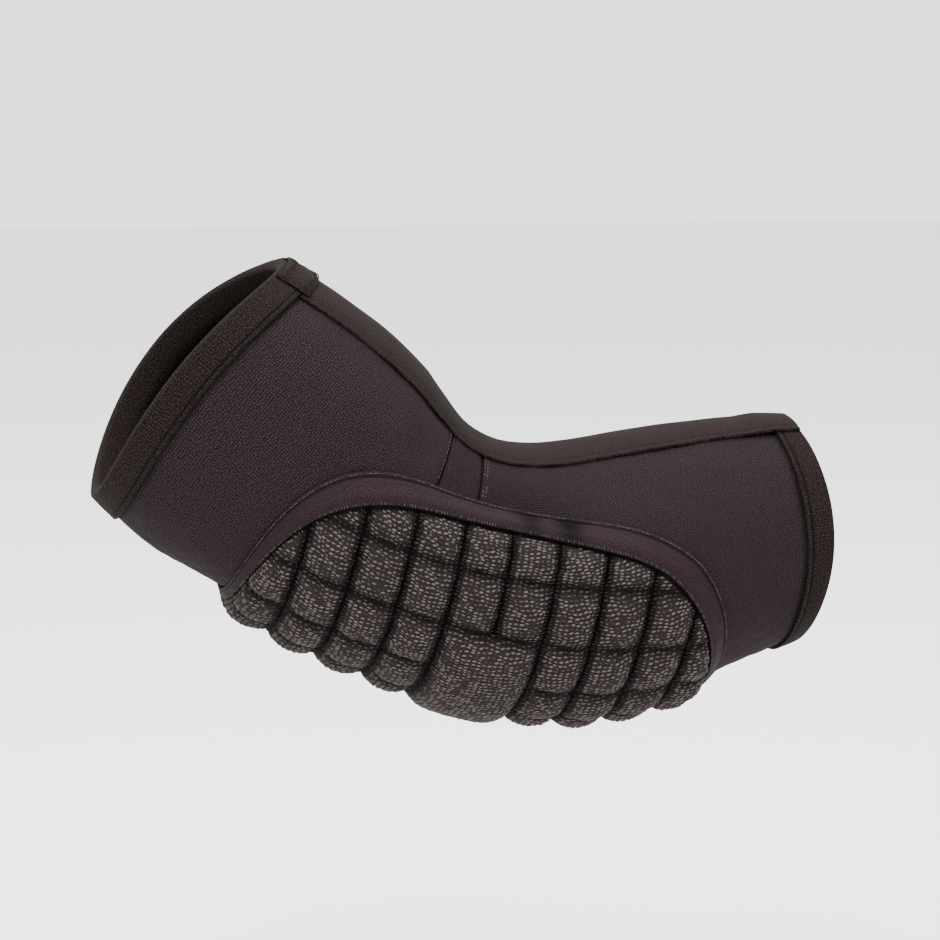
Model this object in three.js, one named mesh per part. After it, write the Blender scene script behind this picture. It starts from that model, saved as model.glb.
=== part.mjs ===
import * as THREE from 'three';
import { mergeVertices } from 'three/addons/utils/BufferGeometryUtils.js';

// Elbow brace: a knitted sleeve shaped to a bent arm, with a quilted pad over the elbow.
// Millimetres, +Z up. +X runs towards the forearm and the elbow's point faces -Z.
// The origin lies on the arm's centreline, at the middle of the bend.

// Sleeve, along the arm
const SLEEVE_LENGTH = 236;
const STRAIGHT_UPPER = 63;
const BEND_RADIUS = 120;
const UPPER_ANGLE = 40;
const FOREARM_ANGLE = 6;

// Sleeve, across the arm
const HALF_DEPTH = 50;
const HALF_WIDTH = 45;
const WALL = 2.2;
const GAP = 0.3;

// How the hem lines leave the square cut: the sides bow out and the forearm's back is cut short
const UPPER_BOW = 10;
const FOREARM_BOW = 5;
const FOREARM_LEAN = 8.5;
const CUT_FADE = 60;

// Hem bands, folded over the panel edges
const HEM_CLOTH = 1.0;
const UPPER_HEM_WIDTH = 11.5;
const FOREARM_HEM_WIDTH = 10;
const FOLD_ROUNDING = 1.1;

// Insert at the elbow's bend
const INSERT_START = 86;
const INSERT_WIDTH = 18.5;

// Strip along the inner arm, and the tab over its upper end
const STRIP_HALF_WIDTH = 25;
const STRIP_CLOTH = 1.2;
const STRIP_EDGE_CLOTH = 0.8;
const STRIP_RAMP = 4;
const TAB_CLOTH = 1.2;
const TAB_OVERLAP = 2;
const TAB_INSET = 1;

// Pad: an oval over the elbow, measured along its axis and by its wrap on each side
const PAD_AT = 120.9;
const PAD_TILT = 11;
const PAD_SHIFT = -0.6;
const PAD_HALF_LENGTH = 82.5;
const PAD_WRAP = 110.5;
const OVAL_LENGTH_POWER = 1.75;
const OVAL_WRAP_POWER = 3.2;

// Pad's cells
const CELL = 16.8;
const COLUMN_GROOVES = 4;
const ROW_ANGLE = 22.5;
const ROW_LINES = 5;
const ROW_FALL = 205;
const BIG_CELL_ROWS = 3;
const GROOVE_HEIGHT = 4.9;
const CROWN_HEIGHT = 8.5;
const BIG_CROWN_RISE = 1.5;
const ROW_SOFTNESS = 0.45;
const RIM_HEIGHT = 4;
const RIM_EDGE_HEIGHT = 3.6;
const RIM_TUCK = 3;
const RIM_BARE = 1;
const RIM_RISE = 6;
const FACE_FALL = 0.08;
const RIM_FALL = 0.6;

// Border: the smooth ring of cloth that holds the pad's rim down
const BORDER_WIDTH = 10;
const BORDER_SWELL = 0.2;
const BORDER_CLOTH = 1.2;
const BORDER_END_SHARE = 0.4;

// Mesh steps
const AROUND = 36;
const STATION_STEP = 9;
const STRIP_STEPS = 6;
const BORDER_STEPS = 72;
const CELL_STEPS = 3;
const SEARCH_STEPS = 36;

// Sections along the arm. at is a share of SLEEVE_LENGTH, front and back of HALF_DEPTH,
// side of HALF_WIDTH and strip of STRIP_HALF_WIDTH
const SECTIONS = [
  { at: 0.0, front: 0.95, back: 1.05, side: 1.045, strip: 1.0 },
  { at: 0.106, front: 1.01, back: 1.09, side: 1.067, strip: 1.0 },
  { at: 0.212, front: 1.02, back: 1.02, side: 1.067, strip: 1.02 },
  { at: 0.318, front: 0.94, back: 0.95, side: 1.045, strip: 1.0 },
  { at: 0.403, front: 0.83, back: 0.91, side: 1.022, strip: 0.95 },
  { at: 0.487, front: 0.775, back: 0.93, side: 1.0, strip: 0.86 },
  { at: 0.572, front: 0.78, back: 0.98, side: 0.98, strip: 0.8 },
  { at: 0.657, front: 0.8, back: 1.02, side: 0.965, strip: 0.77 },
  { at: 0.797, front: 0.82, back: 0.97, side: 0.933, strip: 0.73 },
  { at: 0.903, front: 0.815, back: 0.84, side: 0.89, strip: 0.66 },
  { at: 1.0, front: 0.755, back: 0.73, side: 0.86, strip: 0.58 },
];

// Border's underside: across is a share of BORDER_WIDTH from the inner edge,
// under its height over the sleeve as a share of RIM_HEIGHT, above the gap
const BORDER_PROFILE = [
  { across: 0.0, under: 1.08, cloth: 1.0 },
  { across: 0.32, under: 1.0, cloth: 1.0 },
  { across: 0.55, under: 0.56, cloth: 1.0 },
  { across: 0.78, under: 0.18, cloth: 1.0 },
  { across: 1.0, under: 0.0, cloth: 0.6 },
];

// Soft dents in the border beside the elbow: at is a share of PAD_HALF_LENGTH,
// spread a share of CELL and depth a share of RIM_HEIGHT
const BORDER_DENTS = [
  { at: 0.075, spread: 0.26, depth: 0.3 },
  { at: 0.24, spread: 0.28, depth: 0.36 },
];

const radians = THREE.MathUtils.degToRad;
const clamp = THREE.MathUtils.clamp;
const BEND = radians(UPPER_ANGLE + FOREARM_ANGLE);
const BEND_END = STRAIGHT_UPPER + BEND_RADIUS * BEND;
const FULL_TURN = 2 * Math.PI;

// Smooth curve through one column of a table
function follow(table, column, at) {
  const x = clamp(at, table[0].at, table[table.length - 1].at);
  const last = table.length - 2;
  const i = clamp(table.findIndex((row) => row.at > x) - 1, 0, last);
  const k = x >= table[last].at ? last : i;
  const slope = (n) => {
    const a = table[Math.max(n - 1, 0)];
    const b = table[Math.min(n + 1, table.length - 1)];
    return (b[column] - a[column]) / (b.at - a.at);
  };
  const h = table[k + 1].at - table[k].at;
  const t = (x - table[k].at) / h;
  const ends = (2 * t ** 3 - 3 * t ** 2 + 1) * table[k][column]
    + (3 * t ** 2 - 2 * t ** 3) * table[k + 1][column];
  const slopes = (t ** 3 - 2 * t ** 2 + t) * slope(k) + (t ** 3 - t ** 2) * slope(k + 1);
  return ends + h * slopes;
}

// Arm's centreline: two straight runs and an arc, with the unit normal towards the inner arm
function centreline(along) {
  const turned = clamp((along - STRAIGHT_UPPER) / BEND_RADIUS, 0, BEND);
  const angle = turned - radians(UPPER_ANGLE);
  const middle = radians(FOREARM_ANGLE - UPPER_ANGLE) / 2;
  const beyond = Math.min(along - STRAIGHT_UPPER, 0) + Math.max(along - BEND_END, 0);
  const x = BEND_RADIUS * (Math.sin(angle) - Math.sin(middle)) + beyond * Math.cos(angle);
  const z = BEND_RADIUS * (Math.cos(middle) - Math.cos(angle)) + beyond * Math.sin(angle);
  return { x, z, nx: -Math.sin(angle), nz: Math.cos(angle) };
}

// Where the cut of a hem line moves a point, fading out away from the hems
function cutShift(along, theta) {
  const pastHem = Math.max(along - UPPER_HEM_WIDTH, 0);
  const nearUpper = Math.max(1 - pastHem / CUT_FADE, 0) ** 2;
  const nearForearm = Math.max(1 - (SLEEVE_LENGTH - along) / CUT_FADE, 0) ** 2;
  const side = Math.sin(theta) ** 2;
  const back = (1 - Math.cos(theta)) / 2;
  return -UPPER_BOW * side * nearUpper
    + (FOREARM_BOW * side - FOREARM_LEAN * back) * nearForearm;
}

// A point of the sleeve: theta is 0 on the inner arm and pi on the elbow's side,
// and out is the height over the panels' outer face
function onSleeve(along, theta, out) {
  const place = along + cutShift(along, theta);
  const share = place / SLEEVE_LENGTH;
  const line = centreline(place);
  const side = Math.cos(theta) >= 0 ? 'front' : 'back';
  const height = (HALF_DEPTH * follow(SECTIONS, side, share) + out) * Math.cos(theta);
  const across = (HALF_WIDTH * follow(SECTIONS, 'side', share) + out) * Math.sin(theta);
  return new THREE.Vector3(line.x + line.nx * height, -across, line.z + line.nz * height);
}

// Half the angle that the strip takes up at a place along the arm
function stripAngle(along) {
  const share = along / SLEEVE_LENGTH;
  const half = STRIP_HALF_WIDTH * follow(SECTIONS, 'strip', share);
  return Math.asin(half / (HALF_WIDTH * follow(SECTIONS, 'side', share)));
}

// Pad's own frame: length along its tilted axis, and roll from the elbow's back, in degrees
const PAD_CENTRE = onSleeve(PAD_AT, Math.PI, 0);

function padLength(point) {
  const tilt = radians(PAD_TILT);
  return (point.x - PAD_CENTRE.x) * Math.cos(tilt) - (point.z - PAD_CENTRE.z) * Math.sin(tilt);
}

// A point over the sleeve at a length and a roll of the pad
function onPad(length, roll, out) {
  const theta = Math.PI - radians(roll);
  let low = 0;
  let high = SLEEVE_LENGTH;
  for (let i = 0; i < SEARCH_STEPS; i += 1) {
    const middle = (low + high) / 2;
    if (padLength(onSleeve(middle, theta, 0)) < length) {
      low = middle;
    } else {
      high = middle;
    }
  }
  return onSleeve(low, theta, out);
}

// Oval of the pad, grown by a margin that the border shares
const ovalLength = (margin) => PAD_HALF_LENGTH + margin * BORDER_END_SHARE;
const ovalWrap = (margin) => PAD_WRAP + THREE.MathUtils.radToDeg(margin / HALF_WIDTH);

function ovalRoll(length, margin) {
  const share = Math.min(Math.abs(length - PAD_SHIFT) / ovalLength(margin), 1);
  return ovalWrap(margin) * (1 - share ** OVAL_LENGTH_POWER) ** (1 / OVAL_WRAP_POWER);
}

function ovalReach(roll, margin) {
  const share = Math.min(Math.abs(roll) / ovalWrap(margin), 1);
  return ovalLength(margin) * (1 - share ** OVAL_WRAP_POWER) ** (1 / OVAL_LENGTH_POWER);
}

function onOval(turn, margin) {
  const along = Math.sign(Math.cos(turn)) * Math.abs(Math.cos(turn)) ** (2 / OVAL_LENGTH_POWER);
  const round = Math.sign(Math.sin(turn)) * Math.abs(Math.sin(turn)) ** (2 / OVAL_WRAP_POWER);
  return { length: PAD_SHIFT + ovalLength(margin) * along, roll: ovalWrap(margin) * round };
}

// Turns that stand at even distances round the oval
function evenTurns(count) {
  const fine = 40 * count;
  const places = [];
  let total = 0;
  let before = onOval(0, 0);
  for (let i = 0; i <= fine; i += 1) {
    const turn = (i / fine) * FULL_TURN;
    const here = onOval(turn, 0);
    total += Math.hypot(here.length - before.length, radians(here.roll - before.roll) * HALF_WIDTH);
    places.push({ turn, total });
    before = here;
  }
  const turns = [];
  for (let i = 0; i < count; i += 1) {
    turns.push(places.find((place) => place.total >= (i / count) * total).turn);
  }
  return turns;
}

// Rounded step from 0 at an edge to 1 at a reach from it
function arch(distance, reach) {
  const left = 1 - clamp(distance / reach, 0, 1);
  return Math.sqrt(1 - left ** 2);
}

// How far the rim and the face sink towards the pad's ends
const rimFall = (length) => 1 - RIM_FALL * Math.min(Math.abs(length / PAD_HALF_LENGTH), 1) ** 6;
const faceFall = (length) => 1 - FACE_FALL * (length / PAD_HALF_LENGTH) ** 2;

const rowAngle = (length) => ROW_ANGLE * (1 - (length / ROW_FALL) ** 2);

// Height of the pad's face: crowned cells between deep column grooves and softer row grooves
function padHeight(length, roll) {
  const row = rowAngle(length);
  const big = Math.abs(length) < CELL && Math.abs(roll) < BIG_CELL_ROWS * row;
  const column = clamp(Math.round(length / CELL), -COLUMN_GROOVES, COLUMN_GROOVES);
  const toColumn = big ? CELL - Math.abs(length) : Math.abs(length - column * CELL);
  const line = Math.round(roll / row);
  const toLine = big ? BIG_CELL_ROWS * row - Math.abs(roll) : Math.abs(roll - line * row);
  const toRow = radians(toLine) * HALF_WIDTH;
  const crown = arch(toColumn, CELL / 2) * (1 - ROW_SOFTNESS * (1 - arch(toRow, CELL / 2)));
  const rise = big ? BIG_CROWN_RISE * arch(toColumn, CELL) * arch(toRow, CELL) : 0;
  const full = GROOVE_HEIGHT + (CROWN_HEIGHT - GROOVE_HEIGHT) * crown + rise;
  const face = full * faceFall(length);
  const rim = RIM_HEIGHT * rimFall(length);
  const inward = radians(ovalRoll(length, -RIM_BARE) - Math.abs(roll)) * HALF_WIDTH;
  const endward = ovalReach(roll, -RIM_BARE) - Math.abs(length - PAD_SHIFT);
  const toEdge = (inward * endward) / Math.max(Math.hypot(inward, endward), GAP);
  return rim + (face - rim) * arch(toEdge, RIM_RISE);
}

// One closed body from points and triangles, with its faces pointing out
function closedBody(name, points, triangles, material) {
  const loose = new THREE.BufferGeometry();
  loose.setAttribute('position', new THREE.Float32BufferAttribute(points.flatMap((p) => p.toArray()), 3));
  loose.setIndex(triangles.flat());
  const merged = mergeVertices(loose);
  const index = merged.getIndex().array;
  const position = merged.getAttribute('position');
  const corner = [new THREE.Vector3(), new THREE.Vector3(), new THREE.Vector3()];
  const kept = [];
  let volume = 0;
  for (let i = 0; i < index.length; i += 3) {
    const [a, b, c] = [index[i], index[i + 1], index[i + 2]];
    if (a !== b && b !== c && c !== a) {
      kept.push([a, b, c]);
      corner.forEach((vertex, k) => vertex.fromBufferAttribute(position, [a, b, c][k]));
      volume += corner[0].dot(corner[1].clone().cross(corner[2]));
    }
  }
  merged.setIndex(kept.flatMap(([a, b, c]) => (volume > 0 ? [a, b, c] : [a, c, b])));
  merged.computeVertexNormals();
  const mesh = new THREE.Mesh(merged, material);
  mesh.name = name;
  return mesh;
}

// Two triangles for each cell of a grid whose rows and columns may close on themselves
function gridTriangles(rows, columns, closed) {
  const triangles = [];
  const lastRow = closed ? rows : rows - 1;
  const lastColumn = closed ? columns : columns - 1;
  for (let i = 0; i < lastRow; i += 1) {
    for (let j = 0; j < lastColumn; j += 1) {
      const a = i * columns + j;
      const b = i * columns + ((j + 1) % columns);
      const c = ((i + 1) % rows) * columns + ((j + 1) % columns);
      const d = ((i + 1) % rows) * columns + j;
      triangles.push([a, b, c], [a, c, d]);
    }
  }
  return triangles;
}

// Band right round: each turn gives the closed loop of its section
function ringBody(name, loops, material) {
  return closedBody(name, loops.flat(), gridTriangles(loops.length, loops[0].length, true), material);
}

// Sheet with thickness: a top grid, a bottom grid and a wall round them
function sheetBody(name, top, bottom, material) {
  const rows = top.length;
  const columns = top[0].length;
  const size = rows * columns;
  const upper = gridTriangles(rows, columns, false);
  const lower = upper.map(([a, b, c]) => [a + size, c + size, b + size]);
  const edge = [];
  for (let j = 0; j < columns; j += 1) edge.push(j);
  for (let i = 1; i < rows; i += 1) edge.push(i * columns + columns - 1);
  for (let j = columns - 2; j >= 0; j -= 1) edge.push((rows - 1) * columns + j);
  for (let i = rows - 2; i > 0; i -= 1) edge.push(i * columns);
  const wall = edge.flatMap((a, k) => {
    const b = edge[(k + 1) % edge.length];
    return [[b, a, a + size], [b, a + size, b + size]];
  });
  return closedBody(name, [...top.flat(), ...bottom.flat()], [...upper, ...lower, ...wall], material);
}

// Places along the arm from one end of a piece to the other, shared by every layer
function stations(start, end, step) {
  const places = [start];
  for (let s = Math.ceil(start / step) * step; s < end; s += step) {
    if (s - start > step / 4 && end - s > step / 4) places.push(s);
  }
  return [...places, end];
}

const turnsAround = Array.from({ length: AROUND }, (_, j) => (j / AROUND) * FULL_TURN);

function panel(name, start, end, material) {
  const outer = stations(start, end, STATION_STEP).map((s) => [s, 0]);
  const inner = stations(start, end, 2 * STATION_STEP).map((s) => [s, -WALL]).reverse();
  const profile = [...outer, ...inner];
  const loops = turnsAround.map((theta) => profile.map(([s, out]) => onSleeve(s, theta, out)));
  return ringBody(name, loops, material);
}

// Hem band folded over the edge: fromRim turns a depth from the rim into a place along the arm
function hem(name, width, fromRim, material) {
  const outside = GAP + HEM_CLOTH;
  const inside = -WALL - GAP - HEM_CLOTH;
  const middle = (outside + inside) / 2;
  const fold = HEM_CLOTH;
  const profile = [
    [width, GAP],
    [width, outside],
    [fold + GAP, outside],
    [fold / 3, outside - FOLD_ROUNDING],
    [0, middle],
    [fold / 3, inside + FOLD_ROUNDING],
    [fold + GAP, inside],
    [width, inside],
    [width, inside + HEM_CLOTH],
    [fold, inside + HEM_CLOTH],
    [fold, GAP],
  ];
  const loops = turnsAround.map(
    (theta) => profile.map(([depth, out]) => onSleeve(fromRim(depth), theta, out)),
  );
  return ringBody(name, loops, material);
}

// Strip along the inner arm: it starts at the upper hem and runs over the forearm hem to its rim
function strip(name, material) {
  const start = UPPER_HEM_WIDTH + GAP;
  const hemEdge = SLEEVE_LENGTH - FOREARM_HEM_WIDTH;
  const flat = stations(start, hemEdge - STRIP_RAMP, STATION_STEP);
  const places = [...flat, hemEdge - GAP, SLEEVE_LENGTH - HEM_CLOTH - GAP];
  const under = (s) => (s < hemEdge - STRIP_RAMP / 2 ? GAP : 2 * GAP + HEM_CLOTH);
  const layer = (cloth) => places.map((s) => Array.from({ length: STRIP_STEPS + 1 }, (_, j) => {
    const share = (2 * j) / STRIP_STEPS - 1;
    const thick = STRIP_EDGE_CLOTH + (STRIP_CLOTH - STRIP_EDGE_CLOTH) * arch(1 - Math.abs(share), 1);
    return onSleeve(s, share * stripAngle(s), under(s) + cloth * thick);
  }));
  return sheetBody(name, layer(1), layer(0), material);
}

// Tab sewn over the upper hem's joint and the strip's end
function tab(name, material) {
  const under = 2 * GAP + Math.max(HEM_CLOTH, STRIP_CLOTH);
  const places = stations(HEM_CLOTH + GAP, UPPER_HEM_WIDTH + TAB_OVERLAP, STATION_STEP);
  const layer = (cloth) => places.map((s) => Array.from({ length: STRIP_STEPS + 1 }, (_, j) => {
    const half = stripAngle(s) - TAB_INSET / HALF_WIDTH;
    return onSleeve(s, ((2 * j) / STRIP_STEPS - 1) * half, under + cloth);
  }));
  return sheetBody(name, layer(TAB_CLOTH), layer(0), material);
}

// Depth of the dents at a length along the near side of the border
function dent(length, roll) {
  const depth = BORDER_DENTS.map((row) => {
    const off = (length - row.at * PAD_HALF_LENGTH) / (row.spread * CELL);
    return row.depth * RIM_HEIGHT * Math.exp(-(off ** 2));
  });
  return roll > PAD_WRAP / 2 ? Math.max(...depth) : 0;
}

// The border is wider towards the forearm
function border(name, material) {
  const section = (turn) => {
    const width = BORDER_WIDTH * (1 + BORDER_SWELL * Math.cos(turn));
    const side = (cloth) => BORDER_PROFILE.map((row) => {
      const { length, roll } = onOval(turn, row.across * width);
      const slack = Math.max(4 * row.under * (1 - row.under), 0);
      const drop = dent(length, roll) * slack;
      const rim = RIM_HEIGHT * rimFall(length);
      const under = Math.max(GAP + row.under * rim - drop, GAP);
      return onPad(length, roll, under + cloth * row.cloth * BORDER_CLOTH);
    });
    return [...side(1), ...side(0).reverse()];
  };
  return ringBody(name, evenTurns(BORDER_STEPS).map(section), material);
}

// Lengths of the pad's grid: even steps in the cells, and in each rounded end the places
// where the oval meets the row steps
function padLengths() {
  const first = COLUMN_GROOVES * CELL;
  const rowStep = ROW_ANGLE / CELL_STEPS;
  const end = (side) => {
    const places = [];
    let reach = ovalLength(-RIM_BARE);
    for (let k = 1; side * PAD_SHIFT + reach > first + 1; k += 1) {
      places.push(PAD_SHIFT + side * reach);
      reach = ovalReach(k * rowStep, -RIM_BARE);
    }
    return places;
  };
  const steps = 2 * COLUMN_GROOVES * CELL_STEPS;
  const middle = Array.from({ length: steps + 1 }, (_, i) => (i / steps) * 2 * first - first);
  return [...end(-1), ...middle, ...end(1).reverse()];
}

// Quilted pad: its face and back are one grid each, and a low rim under the border joins them
function pad(name, material) {
  const lengths = padLengths();
  const half = ROW_LINES * CELL_STEPS;
  const rolls = (length) => {
    const limit = ovalRoll(length, -RIM_BARE);
    return Array.from({ length: 2 * half + 1 }, (_, j) => {
      const roll = ((j - half) * rowAngle(length)) / CELL_STEPS;
      return j === 0 || j === 2 * half ? Math.sign(roll) * limit : clamp(roll, -limit, limit);
    });
  };
  const grid = lengths.map((length) => rolls(length).map((roll) => ({ length, roll })));
  const face = grid.flat().map((at) => onPad(at.length, at.roll, padHeight(at.length, at.roll)));
  const back = grid.flat().map((at) => onPad(at.length, at.roll, GAP));
  const columns = 2 * half + 1;
  const size = face.length;
  const upper = gridTriangles(lengths.length, columns, false);
  const lower = upper.map(([a, b, c]) => [a + size, c + size, b + size]);
  const edge = lengths.map((_, i) => i * columns);
  for (let i = lengths.length - 2; i > 0; i -= 1) edge.push(i * columns + columns - 1);
  const rim = edge.map((index) => {
    const at = grid.flat()[index];
    const inner = PAD_SHIFT + (at.length - PAD_SHIFT) * (ovalLength(RIM_TUCK) / ovalLength(-RIM_BARE));
    return { length: inner, roll: at.roll * (ovalWrap(RIM_TUCK) / ovalWrap(-RIM_BARE)) };
  });
  const rimFace = rim.map((at) => onPad(at.length, at.roll, RIM_EDGE_HEIGHT * rimFall(at.length)));
  const rimBack = rim.map((at) => onPad(at.length, at.roll, GAP));
  const count = edge.length;
  const skirt = edge.flatMap((a, k) => {
    const next = (k + 1) % count;
    const levels = [
      [a, edge[next]],
      [2 * size + k, 2 * size + next],
      [2 * size + count + k, 2 * size + count + next],
      [size + a, size + edge[next]],
    ];
    return levels.slice(1).flatMap(([c, d], level) => {
      const [e, f] = levels[level];
      return [[e, f, d], [e, d, c]];
    });
  });
  return closedBody(name, [...face, ...back, ...rimFace, ...rimBack], [...upper, ...lower, ...skirt], material);
}

const clothOf = (color, roughness) => new THREE.MeshStandardMaterial({ color, roughness, metalness: 0 });

const insertEnd = INSERT_START + INSERT_WIDTH;
const upperEdge = HEM_CLOTH + GAP;
const forearmEdge = SLEEVE_LENGTH - HEM_CLOTH - GAP;
const fromForearmRim = (depth) => SLEEVE_LENGTH - depth;

const group = new THREE.Group();
group.name = 'elbow_brace';
group.add(
  panel('sleeve_upper_panel', upperEdge, INSERT_START - GAP / 2, clothOf(0x3c3739, 0.9)),
  panel('elbow_insert_panel', INSERT_START + GAP / 2, insertEnd - GAP / 2, clothOf(0x393335, 0.92)),
  panel('sleeve_forearm_panel', insertEnd + GAP / 2, forearmEdge, clothOf(0x3b3638, 0.9)),
  hem('upper_hem_band', UPPER_HEM_WIDTH, (depth) => depth, clothOf(0x2e2828, 0.95)),
  hem('forearm_hem_band', FOREARM_HEM_WIDTH, fromForearmRim, clothOf(0x2c2627, 0.95)),
  strip('front_strip', clothOf(0x463c3a, 0.88)),
  tab('hem_overlap_tab', clothOf(0x372f2e, 0.92)),
  border('pad_border', clothOf(0x3d3133, 0.7)),
  pad('quilted_pad', clothOf(0x4a4342, 0.95)),
);

export default group;
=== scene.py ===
"""Elbow brace: the dressed model of a bent knitted sleeve with a quilted pad over the elbow."""

import logging
import math
from collections.abc import Callable
from dataclasses import dataclass, field
from enum import Enum

import bmesh
import bpy
import numpy as np
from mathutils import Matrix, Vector


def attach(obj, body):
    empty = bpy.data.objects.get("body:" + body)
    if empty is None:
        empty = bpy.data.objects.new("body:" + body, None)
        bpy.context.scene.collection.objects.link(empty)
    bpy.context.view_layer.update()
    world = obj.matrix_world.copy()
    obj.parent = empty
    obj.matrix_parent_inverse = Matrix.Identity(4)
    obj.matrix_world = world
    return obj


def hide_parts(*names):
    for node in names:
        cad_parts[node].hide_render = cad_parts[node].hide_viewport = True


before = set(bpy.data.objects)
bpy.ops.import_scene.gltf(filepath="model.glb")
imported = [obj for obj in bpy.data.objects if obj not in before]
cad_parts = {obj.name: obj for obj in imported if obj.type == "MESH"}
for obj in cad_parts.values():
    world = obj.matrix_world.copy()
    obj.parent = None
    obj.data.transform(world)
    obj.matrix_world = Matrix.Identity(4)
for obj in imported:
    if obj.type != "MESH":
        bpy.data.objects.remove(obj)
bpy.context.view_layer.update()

MM = 0.001
CHART_RADIUS = 46.0  # radius in mm that turns angles round the arm into widths on the cloth
SEAMS = (86.0, 104.5)  # lengths in mm at which the insert meets the panels
HEM_CLOTH = 1.0  # one layer of a hem, in mm
STRIP_CLOTH = 1.2  # the strip, in mm
FOREARM_HEM = 10.0  # width in mm of the forearm hem
WAVE_PERIOD = 2 * math.pi / 20  # length at which a wave texture of scale 1 repeats
LOG = logging.getLogger("elbow_brace")
Array = np.ndarray


def curve(at: Array, value: Array, slope: Array, x: Array) -> Array:
    """Smooth curve through values with given slopes.

    Args:
        at: Places of the values, rising.
        value: The values.
        slope: The curve's slopes there.
        x: Where to read the curve.

    Returns:
        The curve's value at each x.
    """
    k = np.clip(np.searchsorted(at, x, side="right") - 1, 0, len(at) - 2)
    h = at[k + 1] - at[k]
    t = (x - at[k]) / h
    rise = 3 * t**2 - 2 * t**3
    ends = (1 - rise) * value[k] + rise * value[k + 1]
    return ends + h * ((t**3 - 2 * t**2 + t) * slope[k] + (t**3 - t**2) * slope[k + 1])


class Column(Enum):
    """The columns of the section table."""

    AT = 0
    FRONT = 1
    BACK = 2
    SIDE = 3
    STRIP = 4


@dataclass(frozen=True)
class SleeveForm:
    """The bent sleeve's form, in millimetres: a centreline in the XZ plane with oval sections.

    A place on it is (along, theta, out): the length from the upper rim, the turn from the inner
    arm (0) past the near side to the elbow's back (pi), and the height over the cloth's face.
    """

    length: float = 236.0
    straight_upper: float = 63.0
    bend_radius: float = 120.0
    upper_angle: float = math.radians(40.0)
    forearm_angle: float = math.radians(6.0)
    half_depth: float = 50.0
    half_width: float = 45.0
    strip_half_width: float = 25.0
    wall: float = 2.2
    gap: float = 0.3
    upper_bow: float = 10.0
    forearm_bow: float = 5.0
    forearm_lean: float = 8.5
    cut_fade: float = 60.0
    upper_hem: float = 11.5
    sections: tuple = (
        (0.0, 0.95, 1.05, 1.045, 1.0),
        (0.106, 1.01, 1.09, 1.067, 1.0),
        (0.212, 1.02, 1.02, 1.067, 1.02),
        (0.318, 0.94, 0.95, 1.045, 1.0),
        (0.403, 0.83, 0.91, 1.022, 0.95),
        (0.487, 0.775, 0.93, 1.0, 0.86),
        (0.572, 0.78, 0.98, 0.98, 0.8),
        (0.657, 0.8, 1.02, 0.965, 0.77),
        (0.797, 0.82, 0.97, 0.933, 0.73),
        (0.903, 0.815, 0.84, 0.89, 0.66),
        (1.0, 0.755, 0.73, 0.86, 0.58),
    )

    def follow(self, column: Column, along: Array) -> Array:
        """Smooth curve through one column of the section table.

        Args:
            column: Which column to read.
            along: Lengths from the upper rim, in millimetres.

        Returns:
            The column's share at each length.
        """
        table = np.array(self.sections)
        at, value = table[:, Column.AT.value], table[:, column.value]
        slope = np.empty(len(at))
        slope[1:-1] = (value[2:] - value[:-2]) / (at[2:] - at[:-2])
        slope[[0, -1]] = (np.diff(value) / np.diff(at))[[0, -1]]
        return curve(at, value, slope, np.clip(along / self.length, at[0], at[-1]))

    def point(self, along: Array, theta: Array, out: Array) -> Array:
        """Points of the sleeve.

        Args:
            along: Lengths from the upper rim.
            theta: Turns round the arm, in radians.
            out: Heights over the cloth's outer face.

        Returns:
            An array with X, Y and Z last, in millimetres.
        """
        along, theta, out = np.broadcast_arrays(*(np.asarray(v, float) for v in (along, theta, out)))
        past_hem = np.maximum(along - self.upper_hem, 0)
        near_upper = np.maximum(1 - past_hem / self.cut_fade, 0) ** 2
        near_forearm = np.maximum(1 - (self.length - along) / self.cut_fade, 0) ** 2
        side, back = np.sin(theta) ** 2, (1 - np.cos(theta)) / 2
        shift = self.forearm_bow * side - self.forearm_lean * back
        place = along - self.upper_bow * side * near_upper + shift * near_forearm
        bend = self.upper_angle + self.forearm_angle
        angle = np.clip((place - self.straight_upper) / self.bend_radius, 0, bend) - self.upper_angle
        middle = (self.forearm_angle - self.upper_angle) / 2
        arc_end = self.straight_upper + self.bend_radius * bend
        beyond = np.minimum(place - self.straight_upper, 0) + np.maximum(place - arc_end, 0)
        x = self.bend_radius * (np.sin(angle) - math.sin(middle)) + beyond * np.cos(angle)
        z = self.bend_radius * (math.cos(middle) - np.cos(angle)) + beyond * np.sin(angle)
        front, rear = self.follow(Column.FRONT, place), self.follow(Column.BACK, place)
        depth = self.half_depth * np.where(np.cos(theta) >= 0, front, rear)
        height = (depth + out) * np.cos(theta)
        across = (self.half_width * self.follow(Column.SIDE, place) + out) * np.sin(theta)
        return np.stack([x - np.sin(angle) * height, -across, z + np.cos(angle) * height], -1)

    def strip_angle(self, along: Array) -> Array:
        """Half the angle that the inner strip takes up at lengths along the arm."""
        half = self.strip_half_width * self.follow(Column.STRIP, along)
        return np.arcsin(half / (self.half_width * self.follow(Column.SIDE, along)))


FORM = SleeveForm()


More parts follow.
